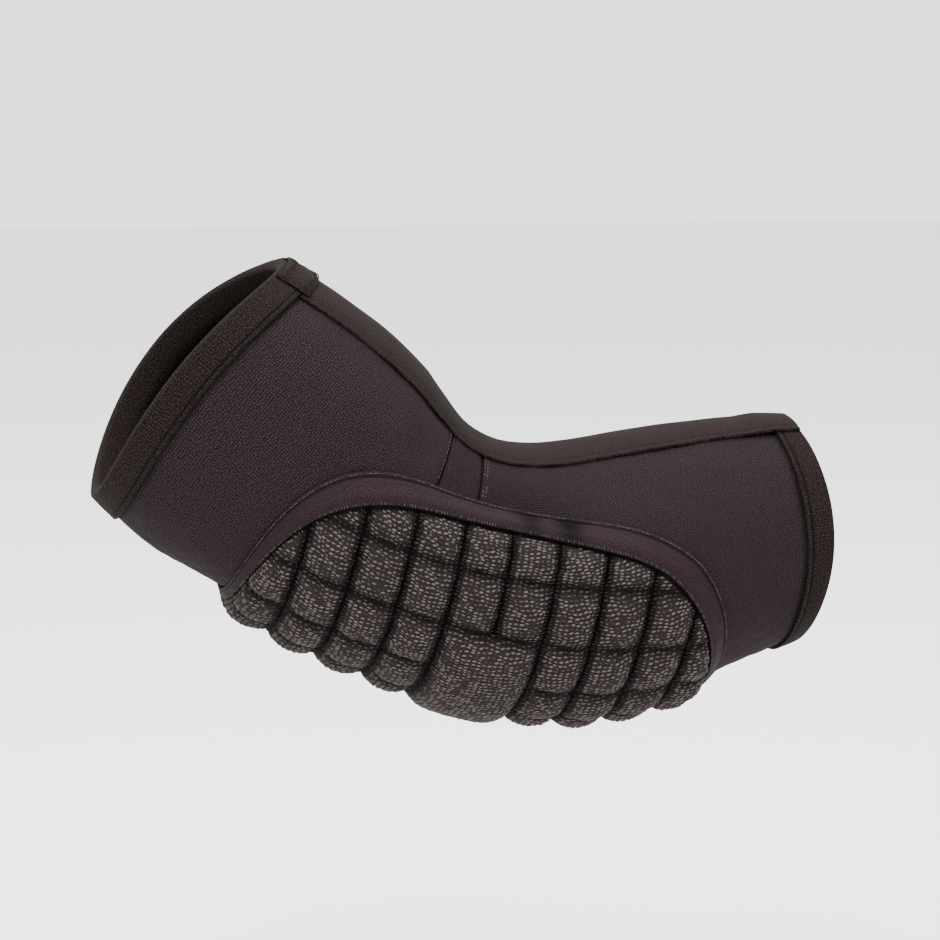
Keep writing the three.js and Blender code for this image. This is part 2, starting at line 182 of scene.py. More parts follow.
@dataclass(frozen=True)
class PadForm:
    """The pad's oval in its own frame: length along its tilted axis and roll round the elbow."""

    at: float = 120.9
    tilt: float = math.radians(11.0)
    shift: float = -0.6
    half_length: float = 82.5
    wrap: float = math.radians(110.5)
    length_power: float = 1.75
    wrap_power: float = 3.2
    end_share: float = 0.4
    cell: float = 16.8
    grooves: int = 4
    row: float = math.radians(22.5)
    row_fall: float = 205.0
    big_rows: int = 3
    groove_height: float = 4.9
    crown_height: float = 8.5
    big_rise: float = 1.5
    row_softness: float = 0.74
    groove_sink: float = 1.1
    column_round: float = 0.5
    row_round: float = 0.7
    rim_height: float = 4.0
    rim_edge_height: float = 3.6
    rim_tuck: float = 3.0
    rim_bare: float = 1.0
    rim_rise: float = 6.0
    face_fall: float = 0.08
    rim_fall: float = 0.6

    def pad_length(self, points: Array) -> Array:
        """Lengths of points along the pad's tilted axis."""
        centre = FORM.point(self.at, math.pi, 0)
        away = points - centre
        return away[..., 0] * math.cos(self.tilt) - away[..., 2] * math.sin(self.tilt)

    def along(self, length: Array, roll: Array) -> Array:
        """Where the sleeve is met at a length and roll of the pad, found by halving."""
        halvings = 34
        low = np.zeros(np.broadcast(length, roll).shape)
        high = np.full(low.shape, FORM.length)
        theta = math.pi - roll
        for _ in range(halvings):
            middle = (low + high) / 2
            less = self.pad_length(FORM.point(middle, theta, 0)) < length
            low, high = np.where(less, middle, low), np.where(less, high, middle)
        return low

    def point(self, length: Array, roll: Array, out: Array) -> Array:
        """Points over the sleeve at lengths and rolls of the pad."""
        return FORM.point(self.along(length, roll), math.pi - np.asarray(roll), out)

    def reach(self, margin: float) -> float:
        """Half length of the oval, grown by a margin."""
        return self.half_length + margin * self.end_share

    def turn(self, margin: float) -> float:
        """Wrap of the oval on each side, grown by a margin."""
        return self.wrap + margin / FORM.half_width

    def oval_roll(self, length: Array, margin: float) -> Array:
        """Roll of the oval's edge at a length."""
        share = np.minimum(np.abs(length - self.shift) / self.reach(margin), 1)
        return self.turn(margin) * (1 - share**self.length_power) ** (1 / self.wrap_power)

    def oval_reach(self, roll: Array, margin: float) -> Array:
        """Length from the oval's middle to its edge at a roll."""
        share = np.minimum(np.abs(roll) / self.turn(margin), 1)
        return self.reach(margin) * (1 - share**self.wrap_power) ** (1 / self.length_power)

    def oval(self, turn: Array, margin: Array) -> tuple[Array, Array]:
        """Length and roll of the oval's edge at turns round it."""
        c, s = np.cos(turn), np.sin(turn)
        length = self.shift + self.reach(margin) * np.sign(c) * np.abs(c) ** (2 / self.length_power)
        return length, self.turn(margin) * np.sign(s) * np.abs(s) ** (2 / self.wrap_power)

    def even_turns(self, count: int) -> Array:
        """Turns that stand at even distances round the oval."""
        turns = np.linspace(0, 2 * math.pi, 40 * count + 1)
        length, roll = self.oval(turns, 0)
        steps = np.hypot(np.diff(length), np.diff(roll) * FORM.half_width)
        total = np.concatenate([[0], np.cumsum(steps)])
        return np.interp(np.arange(count) / count * total[-1], total, turns)

    def row_angle(self, length: Array) -> Array:
        """Angle between row grooves, which draw together towards the pad's ends."""
        return self.row * (1 - (length / self.row_fall) ** 2)

    def rim(self, length: Array) -> Array:
        """Share of the rim's height that is left towards the pad's ends."""
        return 1 - self.rim_fall * np.minimum(np.abs(length / self.half_length), 1) ** 6

    def face(self, length: Array) -> Array:
        """Share of the face's height that is left towards the pad's ends."""
        return 1 - self.face_fall * (length / self.half_length) ** 2


PAD = PadForm()


def arch(distance: Array, reach: float) -> Array:
    """Rounded step from 0 at an edge to 1 at a reach from it."""
    left = 1 - np.clip(distance / reach, 0, 1)
    return np.sqrt(1 - left**2)


def ease(value: Array) -> Array:
    """Smooth step from 0 to 1."""
    t = np.clip(value, 0, 1)
    return t * t * (3 - 2 * t)


def mound(distance: Array, height: float, width: float) -> Array:
    """Rounded mound with its full height where the distance is 0, which fades over a width."""
    return height * np.exp(-((distance / width) ** 2))


def soften(distance: Array, radius: float) -> Array:
    """Distance from a line, rounded close to it."""
    return np.hypot(distance, radius) - radius


@dataclass(frozen=True)
class Swell:
    """Slow, even unevenness of a cloth from a few crossed waves.

    The height and the rough width of a wave are in millimetres, and the seed picks the waves.
    """

    height: float
    width: float
    seed: int
    waves: int = 7
    spread: tuple = (0.6, 1.7)

    def at(self, points: Array) -> Array:
        """Heights at points in millimetres, up to about the swell's own either way."""
        random = np.random.default_rng(self.seed)
        total = np.zeros(points.shape[:-1])
        for _ in range(self.waves):
            way = random.normal(size=3)
            way /= np.linalg.norm(way)
            pitch = self.width * random.uniform(*self.spread)
            total += np.sin(points @ way * 2 * math.pi / pitch + random.uniform(0, 2 * math.pi))
        return self.height * total / math.sqrt(self.waves)


def grid_faces(rows: int, columns: int, close_rows: bool, close_columns: bool) -> Array:
    """Four-sided faces of a grid whose rows and columns may close on themselves."""
    i = np.arange(rows if close_rows else rows - 1)[:, None]
    j = np.arange(columns if close_columns else columns - 1)[None, :]
    a = i * columns + j
    b = i * columns + (j + 1) % columns
    c = ((i + 1) % rows) * columns + (j + 1) % columns
    d = ((i + 1) % rows) * columns + j
    return np.stack([a, b, c, d], -1).reshape(-1, 4)


def outward(points: Array, faces: Array) -> Array:
    """The faces, turned over if together they point into the solid."""
    a, b, c, d = (points[faces[:, k]] for k in range(4))
    volume = (a * np.cross(b, c)).sum() + (a * np.cross(c, d)).sum()
    return faces if volume > 0 else faces[:, ::-1]


def chart_of(width: Array, length: Array) -> Array:
    """Chart of a grid: the width and length on the cloth of each corner, in millimetres."""
    return np.stack(np.broadcast_arrays(width, length), -1).reshape(-1, 2)


def add_object(name: str, data: bpy.types.ID) -> bpy.types.Object:
    """Adds an object with its data to the scene."""
    made = bpy.data.objects.new(name, data)
    bpy.context.scene.collection.objects.link(made)
    return made


def store(mesh: bpy.types.Mesh, name: str, values: Array) -> None:
    """Stores a value for each corner of a mesh, or a vector where the values have two axes."""
    kind, part = ("FLOAT_VECTOR", "vector") if values.ndim == 2 else ("FLOAT", "value")
    mesh.attributes.new(name, kind, "POINT").data.foreach_set(part, values.astype(np.float32).ravel())


def merge_doubles(mesh: bpy.types.Mesh, distance: float) -> None:
    """Closes poles by merging corners that lie closer than a distance in millimetres."""
    work = bmesh.new()
    work.from_mesh(mesh)
    bmesh.ops.remove_doubles(work, verts=work.verts, dist=distance * MM)
    bmesh.ops.dissolve_degenerate(work, edges=work.edges, dist=distance * MM / 10)
    work.to_mesh(mesh)
    work.free()


@dataclass(frozen=True)
class Link:
    """One socket of a node, for joining nodes by name."""

    node: bpy.types.Node
    name: str | int


class Sketch:
    """Adds and joins nodes in one tree."""

    def __init__(self, tree: bpy.types.NodeTree) -> None:
        """Keeps the tree to draw in."""
        self.tree = tree

    def add(self, kind: str, settings: dict | None = None, **inputs: object) -> bpy.types.Node:
        """Adds a node.

        Args:
            kind: Blender's name of the node type.
            settings: Properties of the node.
            **inputs: Values or Links for its inputs, by socket name with _ for a space,
                or by number as in0, in1.

        Returns:
            The node.
        """
        node = self.tree.nodes.new(kind)
        for key, value in (settings or {}).items():
            setattr(node, key, value)
        for key, value in inputs.items():
            number = key[2:] if key.startswith("in") and key[2:].isdigit() else None
            socket = node.inputs[int(number)] if number else node.inputs[key.replace("_", " ")]
            if isinstance(value, Link):
                self.tree.links.new(value.node.outputs[value.name], socket)
            else:
                socket.default_value = value
        return node

    def give(self, end: bpy.types.Node, **values: Link) -> None:
        """Joins values to the inputs of an output node, by socket name."""
        for key, value in values.items():
            self.tree.links.new(value.node.outputs[value.name], end.inputs[key])

    def maths(self, operation: str, *values: object) -> Link:
        """Adds a Math node and returns its result."""
        named = {f"in{k}": value for k, value in enumerate(values)}
        return Link(self.add("ShaderNodeMath", {"operation": operation}, **named), 0)

    def blend(self, share: object, low: object, high: object) -> Link:
        """Mixes two colours by a share. A colour is a Link or its red, green and blue."""
        low, high = ((*end, 1) if isinstance(end, tuple) else end for end in (low, high))
        node = self.add("ShaderNodeMix", {"data_type": "RGBA"}, in0=share, in6=low, in7=high)
        return Link(node, 2)

    def ramp(self, value: Link, low: float, high: float) -> Link:
        """Smooth step from 0 at a low value to 1 at a high one."""
        node = self.add("ShaderNodeMapRange", {"interpolation_type": "SMOOTHSTEP"},
                        Value=value, From_Min=low, From_Max=high)
        return Link(node, 0)

    def noise(self, place: Link, scale: object, detail: float = 1.0) -> Link:
        """Noise of a scale at places."""
        return Link(self.add("ShaderNodeTexNoise", Vector=place, Scale=scale, Detail=detail), "Fac")

    def wave(self, place: Link, pitch: Link, way: str, **inputs: float) -> Link:
        """Sine bands of a pitch that follow each other along X or Y."""
        scale = self.maths("DIVIDE", WAVE_PERIOD, pitch)
        settings = {"wave_profile": "SIN", "bands_direction": way}
        return Link(self.add("ShaderNodeTexWave", settings, Vector=place, Scale=scale, **inputs), "Fac")

    def mask(self, name: str) -> Link:
        """A value stored on the mesh, or 0 where none is."""
        return Link(self.add("ShaderNodeAttribute", {"attribute_name": name}), "Fac")

    def group(self, tree: bpy.types.NodeTree, **inputs: object) -> bpy.types.Node:
        """Adds a shader node group."""
        return self.add("ShaderNodeGroup", {"node_tree": tree}, **inputs)

    def scaled(self, vector: object, by: object) -> Link:
        """A vector times a number."""
        return Link(self.add("ShaderNodeVectorMath", {"operation": "SCALE"}, in0=vector, Scale=by), 0)

    def random(self, low: object, high: object, seed: Link) -> Link:
        """A random number between two, drawn for each place."""
        node = self.add("FunctionNodeRandomValue", {"data_type": "FLOAT"}, in2=low, in3=high, Seed=seed)
        return Link(node, 1)

    def surface(self, height: Link, strength: float, depth: float, **inputs: object) -> None:
        """Ends a material with a Principled surface.

        Args:
            height: Height of the bump.
            strength: Strength of the bump.
            depth: How deep a height of 1 is, in millimetres.
            **inputs: The surface's own inputs, as for add.
        """
        bump = self.add("ShaderNodeBump", Strength=strength, Distance=depth * MM, Height=height)
        shader = self.add("ShaderNodeBsdfPrincipled", Normal=Link(bump, 0), **inputs)
        self.give(self.add("ShaderNodeOutputMaterial"), Surface=Link(shader, 0))


def new_material(name: str) -> tuple[bpy.types.Material, Sketch]:
    """Starts an empty material and a sketch of its nodes."""
    material = bpy.data.materials.new(name)
    material.use_nodes = True
    material.node_tree.nodes.clear()
    return material, Sketch(material.node_tree)


def new_group(name: str, inputs: dict[str, float], outputs: tuple[str, ...]) -> tuple:
    """Starts a shader node group that reads a vector.

    Args:
        name: The group's name.
        inputs: Default of each number that it reads, by name.
        outputs: Names of the numbers that it gives.

    Returns:
        A sketch of the group, its input node and its output node.
    """
    group = bpy.data.node_groups.new(name, "ShaderNodeTree")
    group.interface.new_socket(name="Vector", in_out="INPUT", socket_type="NodeSocketVector")
    for key, value in inputs.items():
        socket = group.interface.new_socket(name=key, in_out="INPUT", socket_type="NodeSocketFloat")
        socket.default_value = value
    for key in outputs:
        group.interface.new_socket(name=key, in_out="OUTPUT", socket_type="NodeSocketFloat")
    return Sketch(group), group.nodes.new("NodeGroupInput"), group.nodes.new("NodeGroupOutput")


class Effects:
    """Shader node groups that several cloths share, each built once."""

    YARN_SHARE = 0.28
    FIBRE_SHARE = 1.5
    SPECK_RANGE = (0.68, 1.05)
    LINT_RANGE = (0.66, 0.78)

    def __init__(self) -> None:
        """Builds every group."""
        self.grain = self.make_grain()
        self.ribs = self.make_ribs()
        self.mottle = self.make_mottle()

    def make_grain(self) -> bpy.types.NodeTree:
        """Grain of a cross weave: yarns both ways broken by fibres, with light specks."""
        sketch, start, end = new_group("weave_grain", {"Pitch": 0.9, "Fibre": 0.5}, ("Height", "Specks"))
        vector, pitch = Link(start, "Vector"), Link(start, "Pitch")
        warp, weft = (
            sketch.wave(vector, pitch, way, Distortion=1.2, Detail=2.0, Detail_Scale=2.0) for way in "XY"
        )
        noise = sketch.noise(vector, sketch.maths("DIVIDE", 1.0, Link(start, "Fibre")))
        weave = sketch.maths("MULTIPLY", sketch.maths("MULTIPLY", warp, weft), self.YARN_SHARE)
        height = sketch.maths("MULTIPLY_ADD", noise, self.FIBRE_SHARE, weave)
        sketch.give(end, Height=height, Specks=sketch.ramp(height, *self.SPECK_RANGE))
        return sketch.tree

    def make_ribs(self) -> bpy.types.NodeTree:
        """Fine parallel ribs, slightly wavy."""
        sketch, start, end = new_group("knit_ribs", {"Pitch": 1.2, "Turn": 0.0}, ("Height",))
        turned = sketch.add("ShaderNodeVectorRotate", {"rotation_type": "Z_AXIS"},
                            Vector=Link(start, "Vector"), Angle=Link(start, "Turn"))
        wave = sketch.wave(Link(turned, 0), Link(start, "Pitch"), "X", Distortion=0.5, Detail=1.0,
                           Detail_Scale=0.4)
        sketch.give(end, Height=wave)
        return sketch.tree

    def make_mottle(self) -> bpy.types.NodeTree:
        """Slow change of shade over the cloth, with a trace of lint."""
        inputs = {"Patch": 0.02, "Lint": 0.0012}
        sketch, start, end = new_group("cloth_mottle", inputs, ("Shade", "Lint"))
        patch, lint = (sketch.maths("DIVIDE", 1.0, Link(start, key)) for key in inputs)
        vector = Link(start, "Vector")
        caught = sketch.ramp(sketch.noise(vector, lint), *self.LINT_RANGE)
        sketch.give(end, Shade=sketch.noise(vector, patch, detail=3.0), Lint=caught)
        return sketch.tree


EFFECTS = Effects()


@dataclass(frozen=True)
class ClothFinish:
    """A cloth's finish: its shades, grain, ribs and sheen, with lengths in millimetres, and painted shade in
    its rib troughs and where its shade mask marks grooves, seams and dents.
    """

    name: str
    dark: tuple = (0.0022, 0.0012, 0.0016)
    base: tuple = (0.0042, 0.0025, 0.0031)
    light: tuple = (0.04, 0.0285, 0.0315)
    evenness: float = 0.6
    speck: float = 0.58
    lint: float = 0.12
    pitch: float = 0.8
    fibre: float = 0.37
    relief: float = 0.5
    bump_strength: float = 1.0
    bump_depth: float = 0.3
    rib_pitch: float = 0.0
    rib_turn: float = 0.0
    rib_relief: float = 0.0
    # How dark the painted shade in the rib troughs gets, as a share of the dark colour.
    painted_rib_shade: float = 0.5
    # How dark the painted shade in grooves, sunk seams and dents gets, as a share of the dark colour.
    dim_shade: float = 0.3
    roughness: float = 0.9
    gloss: float = 0.03
    sheen: float = 0.008
    sheen_roughness: float = 0.45
    sheen_tint: tuple = (0.75, 0.7, 0.72, 1)
    mask: str = ""

    def deeper(self, share: float) -> tuple:
        """A share of the dark shade."""
        return tuple(value * share for value in self.dark)

    def build(self) -> bpy.types.Material:
        """Makes the material, which reads the piece's own cloth chart and masks."""
        material, sketch = new_material(self.name)
        chart = Link(sketch.add("ShaderNodeUVMap", {"uv_map": "cloth"}), "UV")
        place = Link(sketch.add("ShaderNodeTexCoord"), "Object")
        grain = sketch.group(EFFECTS.grain, Vector=chart, Pitch=self.pitch, Fibre=self.fibre)
        mottle = sketch.group(EFFECTS.mottle, Vector=place)
        shade = sketch.blend(Link(mottle, "Shade"), self.dark, self.base)
        colour = sketch.blend(self.evenness, shade, self.base)
        for share, strength in ((Link(grain, "Specks"), self.speck), (Link(mottle, "Lint"), self.lint)):
            colour = sketch.blend(sketch.maths("MULTIPLY", share, strength), colour, self.light)
        height = sketch.maths("MULTIPLY", Link(grain, "Height"), self.relief)
        if self.rib_relief > 0:
            ribs = Link(sketch.group(EFFECTS.ribs, Vector=chart, Pitch=self.rib_pitch,
                                     Turn=self.rib_turn), "Height")
            amount = self.rib_relief
            if self.mask:
                amount = sketch.maths("MULTIPLY", sketch.mask(self.mask), amount)
            height = sketch.maths("ADD", height, sketch.maths("MULTIPLY", ribs, amount))
            # Painted shade in the rib troughs: the colour darkens where the ribs are low.
            deep = sketch.maths("MULTIPLY", sketch.maths("SUBTRACT", 1.0, ribs), amount)
            colour = sketch.blend(deep, colour, self.deeper(self.painted_rib_shade))
        # Painted shade: darker where the piece's mask marks grooves, sunk seams, dents and edges beside
        # other parts.
        colour = sketch.blend(sketch.mask("dim"), colour, self.deeper(self.dim_shade))
        sketch.surface(height, self.bump_strength, self.bump_depth, Base_Color=colour,
                       Roughness=self.roughness, Specular_IOR_Level=self.gloss, Sheen_Weight=self.sheen,
                       Sheen_Roughness=self.sheen_roughness, Sheen_Tint=self.sheen_tint)
        return material


@dataclass(frozen=True)
class YarnFinish:
    """Finish of loose yarn: stitches and knit loops, each with its own shade."""

    name: str
    dark: tuple
    light: tuple
    spread: float = 0.8
    blur: float = 0.4
    dark_share: float = 0.05
    contrast: float = 0.9
    patch: float = 0.012
    level: tuple = (0.5, 0.7)
    fibre: float = 0.15
    bump_strength: float = 0.5
    bump_depth: float = 0.1
    roughness: float = 0.85
    gloss: float = 0.06
    sheen: float = 0.01

    def build(self) -> bpy.types.Material:
        """Makes the material, whose shade changes from loop to loop, with painted shade on loops in the
        pad's grooves and by its rim.
        """
        material, sketch = new_material(self.name)
        place = Link(sketch.add("ShaderNodeTexCoord"), "Object")
        patch = sketch.noise(place, 1 / (self.spread * MM))
        slow = sketch.group(EFFECTS.mottle, Vector=place, Patch=self.patch)
        mixed = sketch.maths("MULTIPLY_ADD", patch, self.blur, sketch.mask("shade"))
        fleck = sketch.ramp(mixed, self.dark_share, self.dark_share + self.contrast)
        level = sketch.maths("MULTIPLY_ADD", Link(slow, "Shade"), *self.level)
        fleck_share = sketch.maths("MULTIPLY", fleck, level)
        # Painted shade: loops go towards the dark colour where the crown mask is low, in the pad's grooves
        # and by its rim.
        colour = sketch.blend(sketch.maths("MULTIPLY", fleck_share, sketch.mask("crown")), self.dark, self.light)
        fibres = sketch.noise(place, 1 / (self.fibre * MM))
        sketch.surface(fibres, self.bump_strength, self.bump_depth, Base_Color=colour,
                       Roughness=self.roughness, Specular_IOR_Level=self.gloss, Sheen_Weight=self.sheen)
        return material


SLEEVE = ClothFinish("sleeve_weave_knit", rib_pitch=1.05, rib_relief=0.95, mask="crease")
INSERT = ClothFinish("insert_rib_knit", rib_pitch=0.95, rib_turn=math.pi / 2, rib_relief=0.35)
HEM = ClothFinish("hem_rib_knit", dark=(0.0016, 0.0009, 0.0008), base=(0.0036, 0.0023, 0.0021),
                  light=(0.032, 0.0235, 0.021), speck=0.62, fibre=0.5, rib_pitch=1.1, rib_relief=0.28)
STRIP = ClothFinish("strip_smooth_knit", dark=(0.0022, 0.0013, 0.0013), base=(0.0038, 0.0023, 0.0023),
                    light=(0.036, 0.0255, 0.025), speck=0.58, pitch=0.7, relief=0.6)
BORDER = ClothFinish("border_smooth_cloth", dark=(0.0035, 0.0018, 0.0025), base=(0.0068, 0.0034, 0.0047),
                     light=(0.034, 0.022, 0.0265), pitch=0.7, speck=0.5, relief=0.35, roughness=0.75,
                     gloss=0.04, sheen=0.005)
PAD_BASE = ClothFinish("pad_ground_knit", dark=(0.0042, 0.003, 0.0028), base=(0.0095, 0.0072, 0.0068),
                       light=(0.034, 0.028, 0.0265), speck=0.4, pitch=1.1, relief=0.5)
STITCH = YarnFinish("seam_thread", (0.014, 0.0105, 0.009), (0.062, 0.048, 0.039))
DARK_STITCH = YarnFinish("dark_thread", (0.004, 0.003, 0.0028), (0.017, 0.013, 0.0115))
PAD_YARN = YarnFinish("pad_loop_yarn", (0.0065, 0.0049, 0.0047), (0.07, 0.0585, 0.056), dark_share=-0.12)


def hand_in(piece: bpy.types.Object, slot: str, *nodes: str) -> bpy.types.Object:
    """Fixes a piece to the brace, hides the parts it stands for, and reports it."""
    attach(piece, "root")
    if nodes:
        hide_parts(*nodes)
    LOG.info("%s: %d corners, %d faces", piece.name, len(piece.data.vertices), len(piece.data.polygons))
    return piece


@dataclass(frozen=True)
class Label:
    """A cloth piece's name, the solid that it stands for, its slot and its finish."""

    name: str
    node: str
    slot: str
    finish: ClothFinish


def cloth_piece(
    label: Label,
    points: Array,
    faces: Array,
    chart: Array,
    masks: dict | None = None,
    merge: float = 0.0,
) -> bpy.types.Object:
    """Makes a smooth closed mesh with the cloth's own chart as its UV map, fixes it to the brace and hides
    the solid that it stands for.

    Args:
        label: The piece's name, solid, slot and finish.
        points: Corners in millimetres, X, Y and Z last.
        faces: Four-sided faces.
        chart: Width and length on the cloth of each corner, in millimetres.
        masks: Values from 0 to 1 for each corner, by the name that the finish reads.
        merge: Corners closer than this are merged, in millimetres.

    Returns:
        The new piece.
    """
    points = points.reshape(-1, 3)
    faces = outward(points, faces)
    mesh = bpy.data.meshes.new(label.name)
    mesh.from_pydata((points * MM).tolist(), [], faces.tolist())
    layer = mesh.uv_layers.new(name="cloth")
    layer.data.foreach_set("uv", chart[faces.ravel()].astype(np.float32).ravel())
    for key, values in (masks or {}).items():
        store(mesh, key, values.ravel())
    mesh.polygons.foreach_set("use_smooth", np.ones(len(mesh.polygons), bool))
    mesh.update()
    if merge:
        merge_doubles(mesh, merge)
    mesh.materials.append(label.finish.build())
    return hand_in(add_object(label.name, mesh), label.slot, label.node)


def slab(top: Array, under: Array) -> tuple[Array, Array]:
    """Closes a sheet between two grids of the same size.

    Args:
        top: Grid of the upper face's points.
        under: Grid of the lower face's points.

    Returns:
        The points and the four-sided faces.
    """
    rows, columns = top.shape[:2]
    count = rows * columns
    face = grid_faces(rows, columns, False, False)
    index = np.arange(count).reshape(rows, columns)
    loop = np.concatenate([index[0, :-1], index[:-1, -1], index[-1, :0:-1], index[:0:-1, 0]])
    after = np.roll(loop, -1)
    side = np.stack([after, loop, loop + count, after + count], -1)
    faces = np.concatenate([face, face[:, ::-1] + count, side])
    return np.concatenate([top.reshape(-1, 3), under.reshape(-1, 3)]), faces


def in_big_cell(length: Array, roll: Array) -> Array:
    """Whether places lie in the big cell over the elbow's point."""
    return (np.abs(length) < PAD.cell) & (np.abs(roll) < PAD.big_rows * PAD.row_angle(length))


def groove_distances(length: Array, roll: Array) -> tuple[Array, Array]:
    """Distances to the nearest column groove and row groove, in millimetres."""
    row, away, turn = PAD.row_angle(length), np.abs(length), np.abs(roll)
    big = in_big_cell(length, roll)
    column = np.clip(np.round(length / PAD.cell), -PAD.grooves, PAD.grooves)
    to_column = np.where(big, PAD.cell - away, np.abs(length - column * PAD.cell))
    line = np.where(big, PAD.big_rows * row - turn, np.abs(roll - np.round(roll / row) * row))
    return to_column, line * FORM.half_width


def pad_height(length: Array, roll: Array) -> Array:
    """Height of the quilted face over the sleeve, in millimetres.

    Args:
        length: Lengths along the pad's axis.
        roll: Turns round the elbow from the pad's middle, in radians.

    Returns:
        The heights.
    """
    turn = np.abs(roll)
    big = in_big_cell(length, roll)
    to_column, to_row = groove_distances(length, roll)
    crown = arch(soften(to_column, PAD.column_round), PAD.cell / 2)
    between = arch(soften(to_row, PAD.row_round), PAD.cell / 2)
    crown = crown * (1 - PAD.row_softness * (1 - between))
    rise = np.where(big, PAD.big_rise * arch(to_column, PAD.cell) * arch(to_row, PAD.cell), 0)
    low = PAD.groove_height - PAD.groove_sink
    face = (low + (PAD.crown_height - low) * crown + rise) * PAD.face(length)
    rim = PAD.rim_height * PAD.rim(length)
    inward = (PAD.oval_roll(length, -PAD.rim_bare) - turn) * FORM.half_width
    endward = PAD.oval_reach(roll, -PAD.rim_bare) - np.abs(length - PAD.shift)
    inward, endward = np.maximum(inward, 0), np.maximum(endward, 0)
    to_edge = inward * endward / np.maximum(np.hypot(inward, endward), FORM.gap)
    return rim + (face - rim) * arch(to_edge, PAD.rim_rise)


def pad_face(length: Array, roll: Array, over: float = 0.0) -> Array:
    """Points of the quilted face, or over it by a height."""
    return PAD.point(length, roll, pad_height(length, roll) + over)


def sleeve_normal(along: Array, theta: Array) -> Array:
    """Outward normals of the sleeve."""
    step, turn_step = 0.2, 0.005
    run = FORM.point(along + step, theta, 0) - FORM.point(along - step, theta, 0)
    turn = FORM.point(along, theta + turn_step, 0) - FORM.point(along, theta - turn_step, 0)
    normal = np.cross(turn, run)
    normal /= np.linalg.norm(normal, axis=-1, keepdims=True)
    outside = FORM.point(along, theta, 1.0) - FORM.point(along, theta, 0)
    return normal * np.sign((normal * outside).sum(-1, keepdims=True))


def surface_normal(
    surface: Callable, first: Array, second: Array, first_step: float, second_step: float
) -> Array:
    """Outward normals of a surface from its own slopes.

    Args:
        surface: Gives points for two coordinates.
        first: First coordinate.
        second: Second coordinate.
        first_step: Half step of the first coordinate.
        second_step: Half step of the second.

    Returns:
        Unit normals that point away from the arm.
    """
    arm_height, least = 25.0, 1e-9
    along = surface(first + first_step, second) - surface(first - first_step, second)
    round_arm = surface(first, second + second_step) - surface(first, second - second_step)
    normal = np.cross(along, round_arm)
    normal /= np.maximum(np.linalg.norm(normal, axis=-1, keepdims=True), least)
    away = surface(first, second) * (0, 1, 1) - (0, 0, arm_height)
    inside = (away * normal).sum(-1, keepdims=True) < 0
    return np.where(inside, -normal, normal)


def under_pad(along: Array, theta: Array, margin: float) -> Array:
    """Whether places of the sleeve lie inside the pad's oval, grown by a margin."""
    length = PAD.pad_length(FORM.point(along, theta, 0))
    roll = np.abs(math.pi - theta)
    inside = np.abs(length - PAD.shift) < PAD.reach(margin)
    return inside & (roll < PAD.oval_roll(length, margin))


@dataclass
class Lines:
    """Polylines on the brace with the cloth's outward direction at each corner."""

    points: list = field(default_factory=list)
    normals: list = field(default_factory=list)
    crowns: list = field(default_factory=list)

    def add(
        self,
        points: Array,
        normals: Array,
        keep: Array | None = None,
        crown: Array | None = None,
    ) -> None:
        """Adds a line, cut where places are left out.

        Args:
            points: Corners in millimetres.
            normals: Outward directions.
            keep: Which corners to keep.
            crown: Share of the colour that the painted shade of the grooves and rim leaves at each corner,
                from 0 to 1.
        """
        keep = np.ones(len(points), bool) if keep is None else keep
        crown = np.ones(len(points)) if crown is None else crown
        breaks = np.flatnonzero(np.diff(keep.astype(int))) + 1
        for run in np.split(np.arange(len(points)), breaks):
            if keep[run[0]] and len(run) > 1:
                self.points.append(points[run])
                self.normals.append(normals[run])
                self.crowns.append(crown[run])

    def mesh(self, name: str) -> bpy.types.Object:
        """Makes the lines as edges, with their directions and the share left by the painted shade stored on
        the corners.
        """
        edges, start = [], 0
        for run in self.points:
            edges += [(start + k, start + k + 1) for k in range(len(run) - 1)]
            start += len(run)
        mesh = bpy.data.meshes.new(name)
        mesh.from_pydata((np.concatenate(self.points) * MM).tolist(), edges, [])
        store(mesh, "outward", np.concatenate(self.normals))
        store(mesh, "crown", np.concatenate(self.crowns))
        return add_object(name, mesh)


@dataclass(frozen=True)
class Thread:
    """Loops of thread set along lines: their pitch, size and unevenness, in millimetres."""

    pitch: float
    size: tuple
    uneven: float = 0.15
    stray: float = 0.0
    twist: float = 0.0
    seed: int = 1


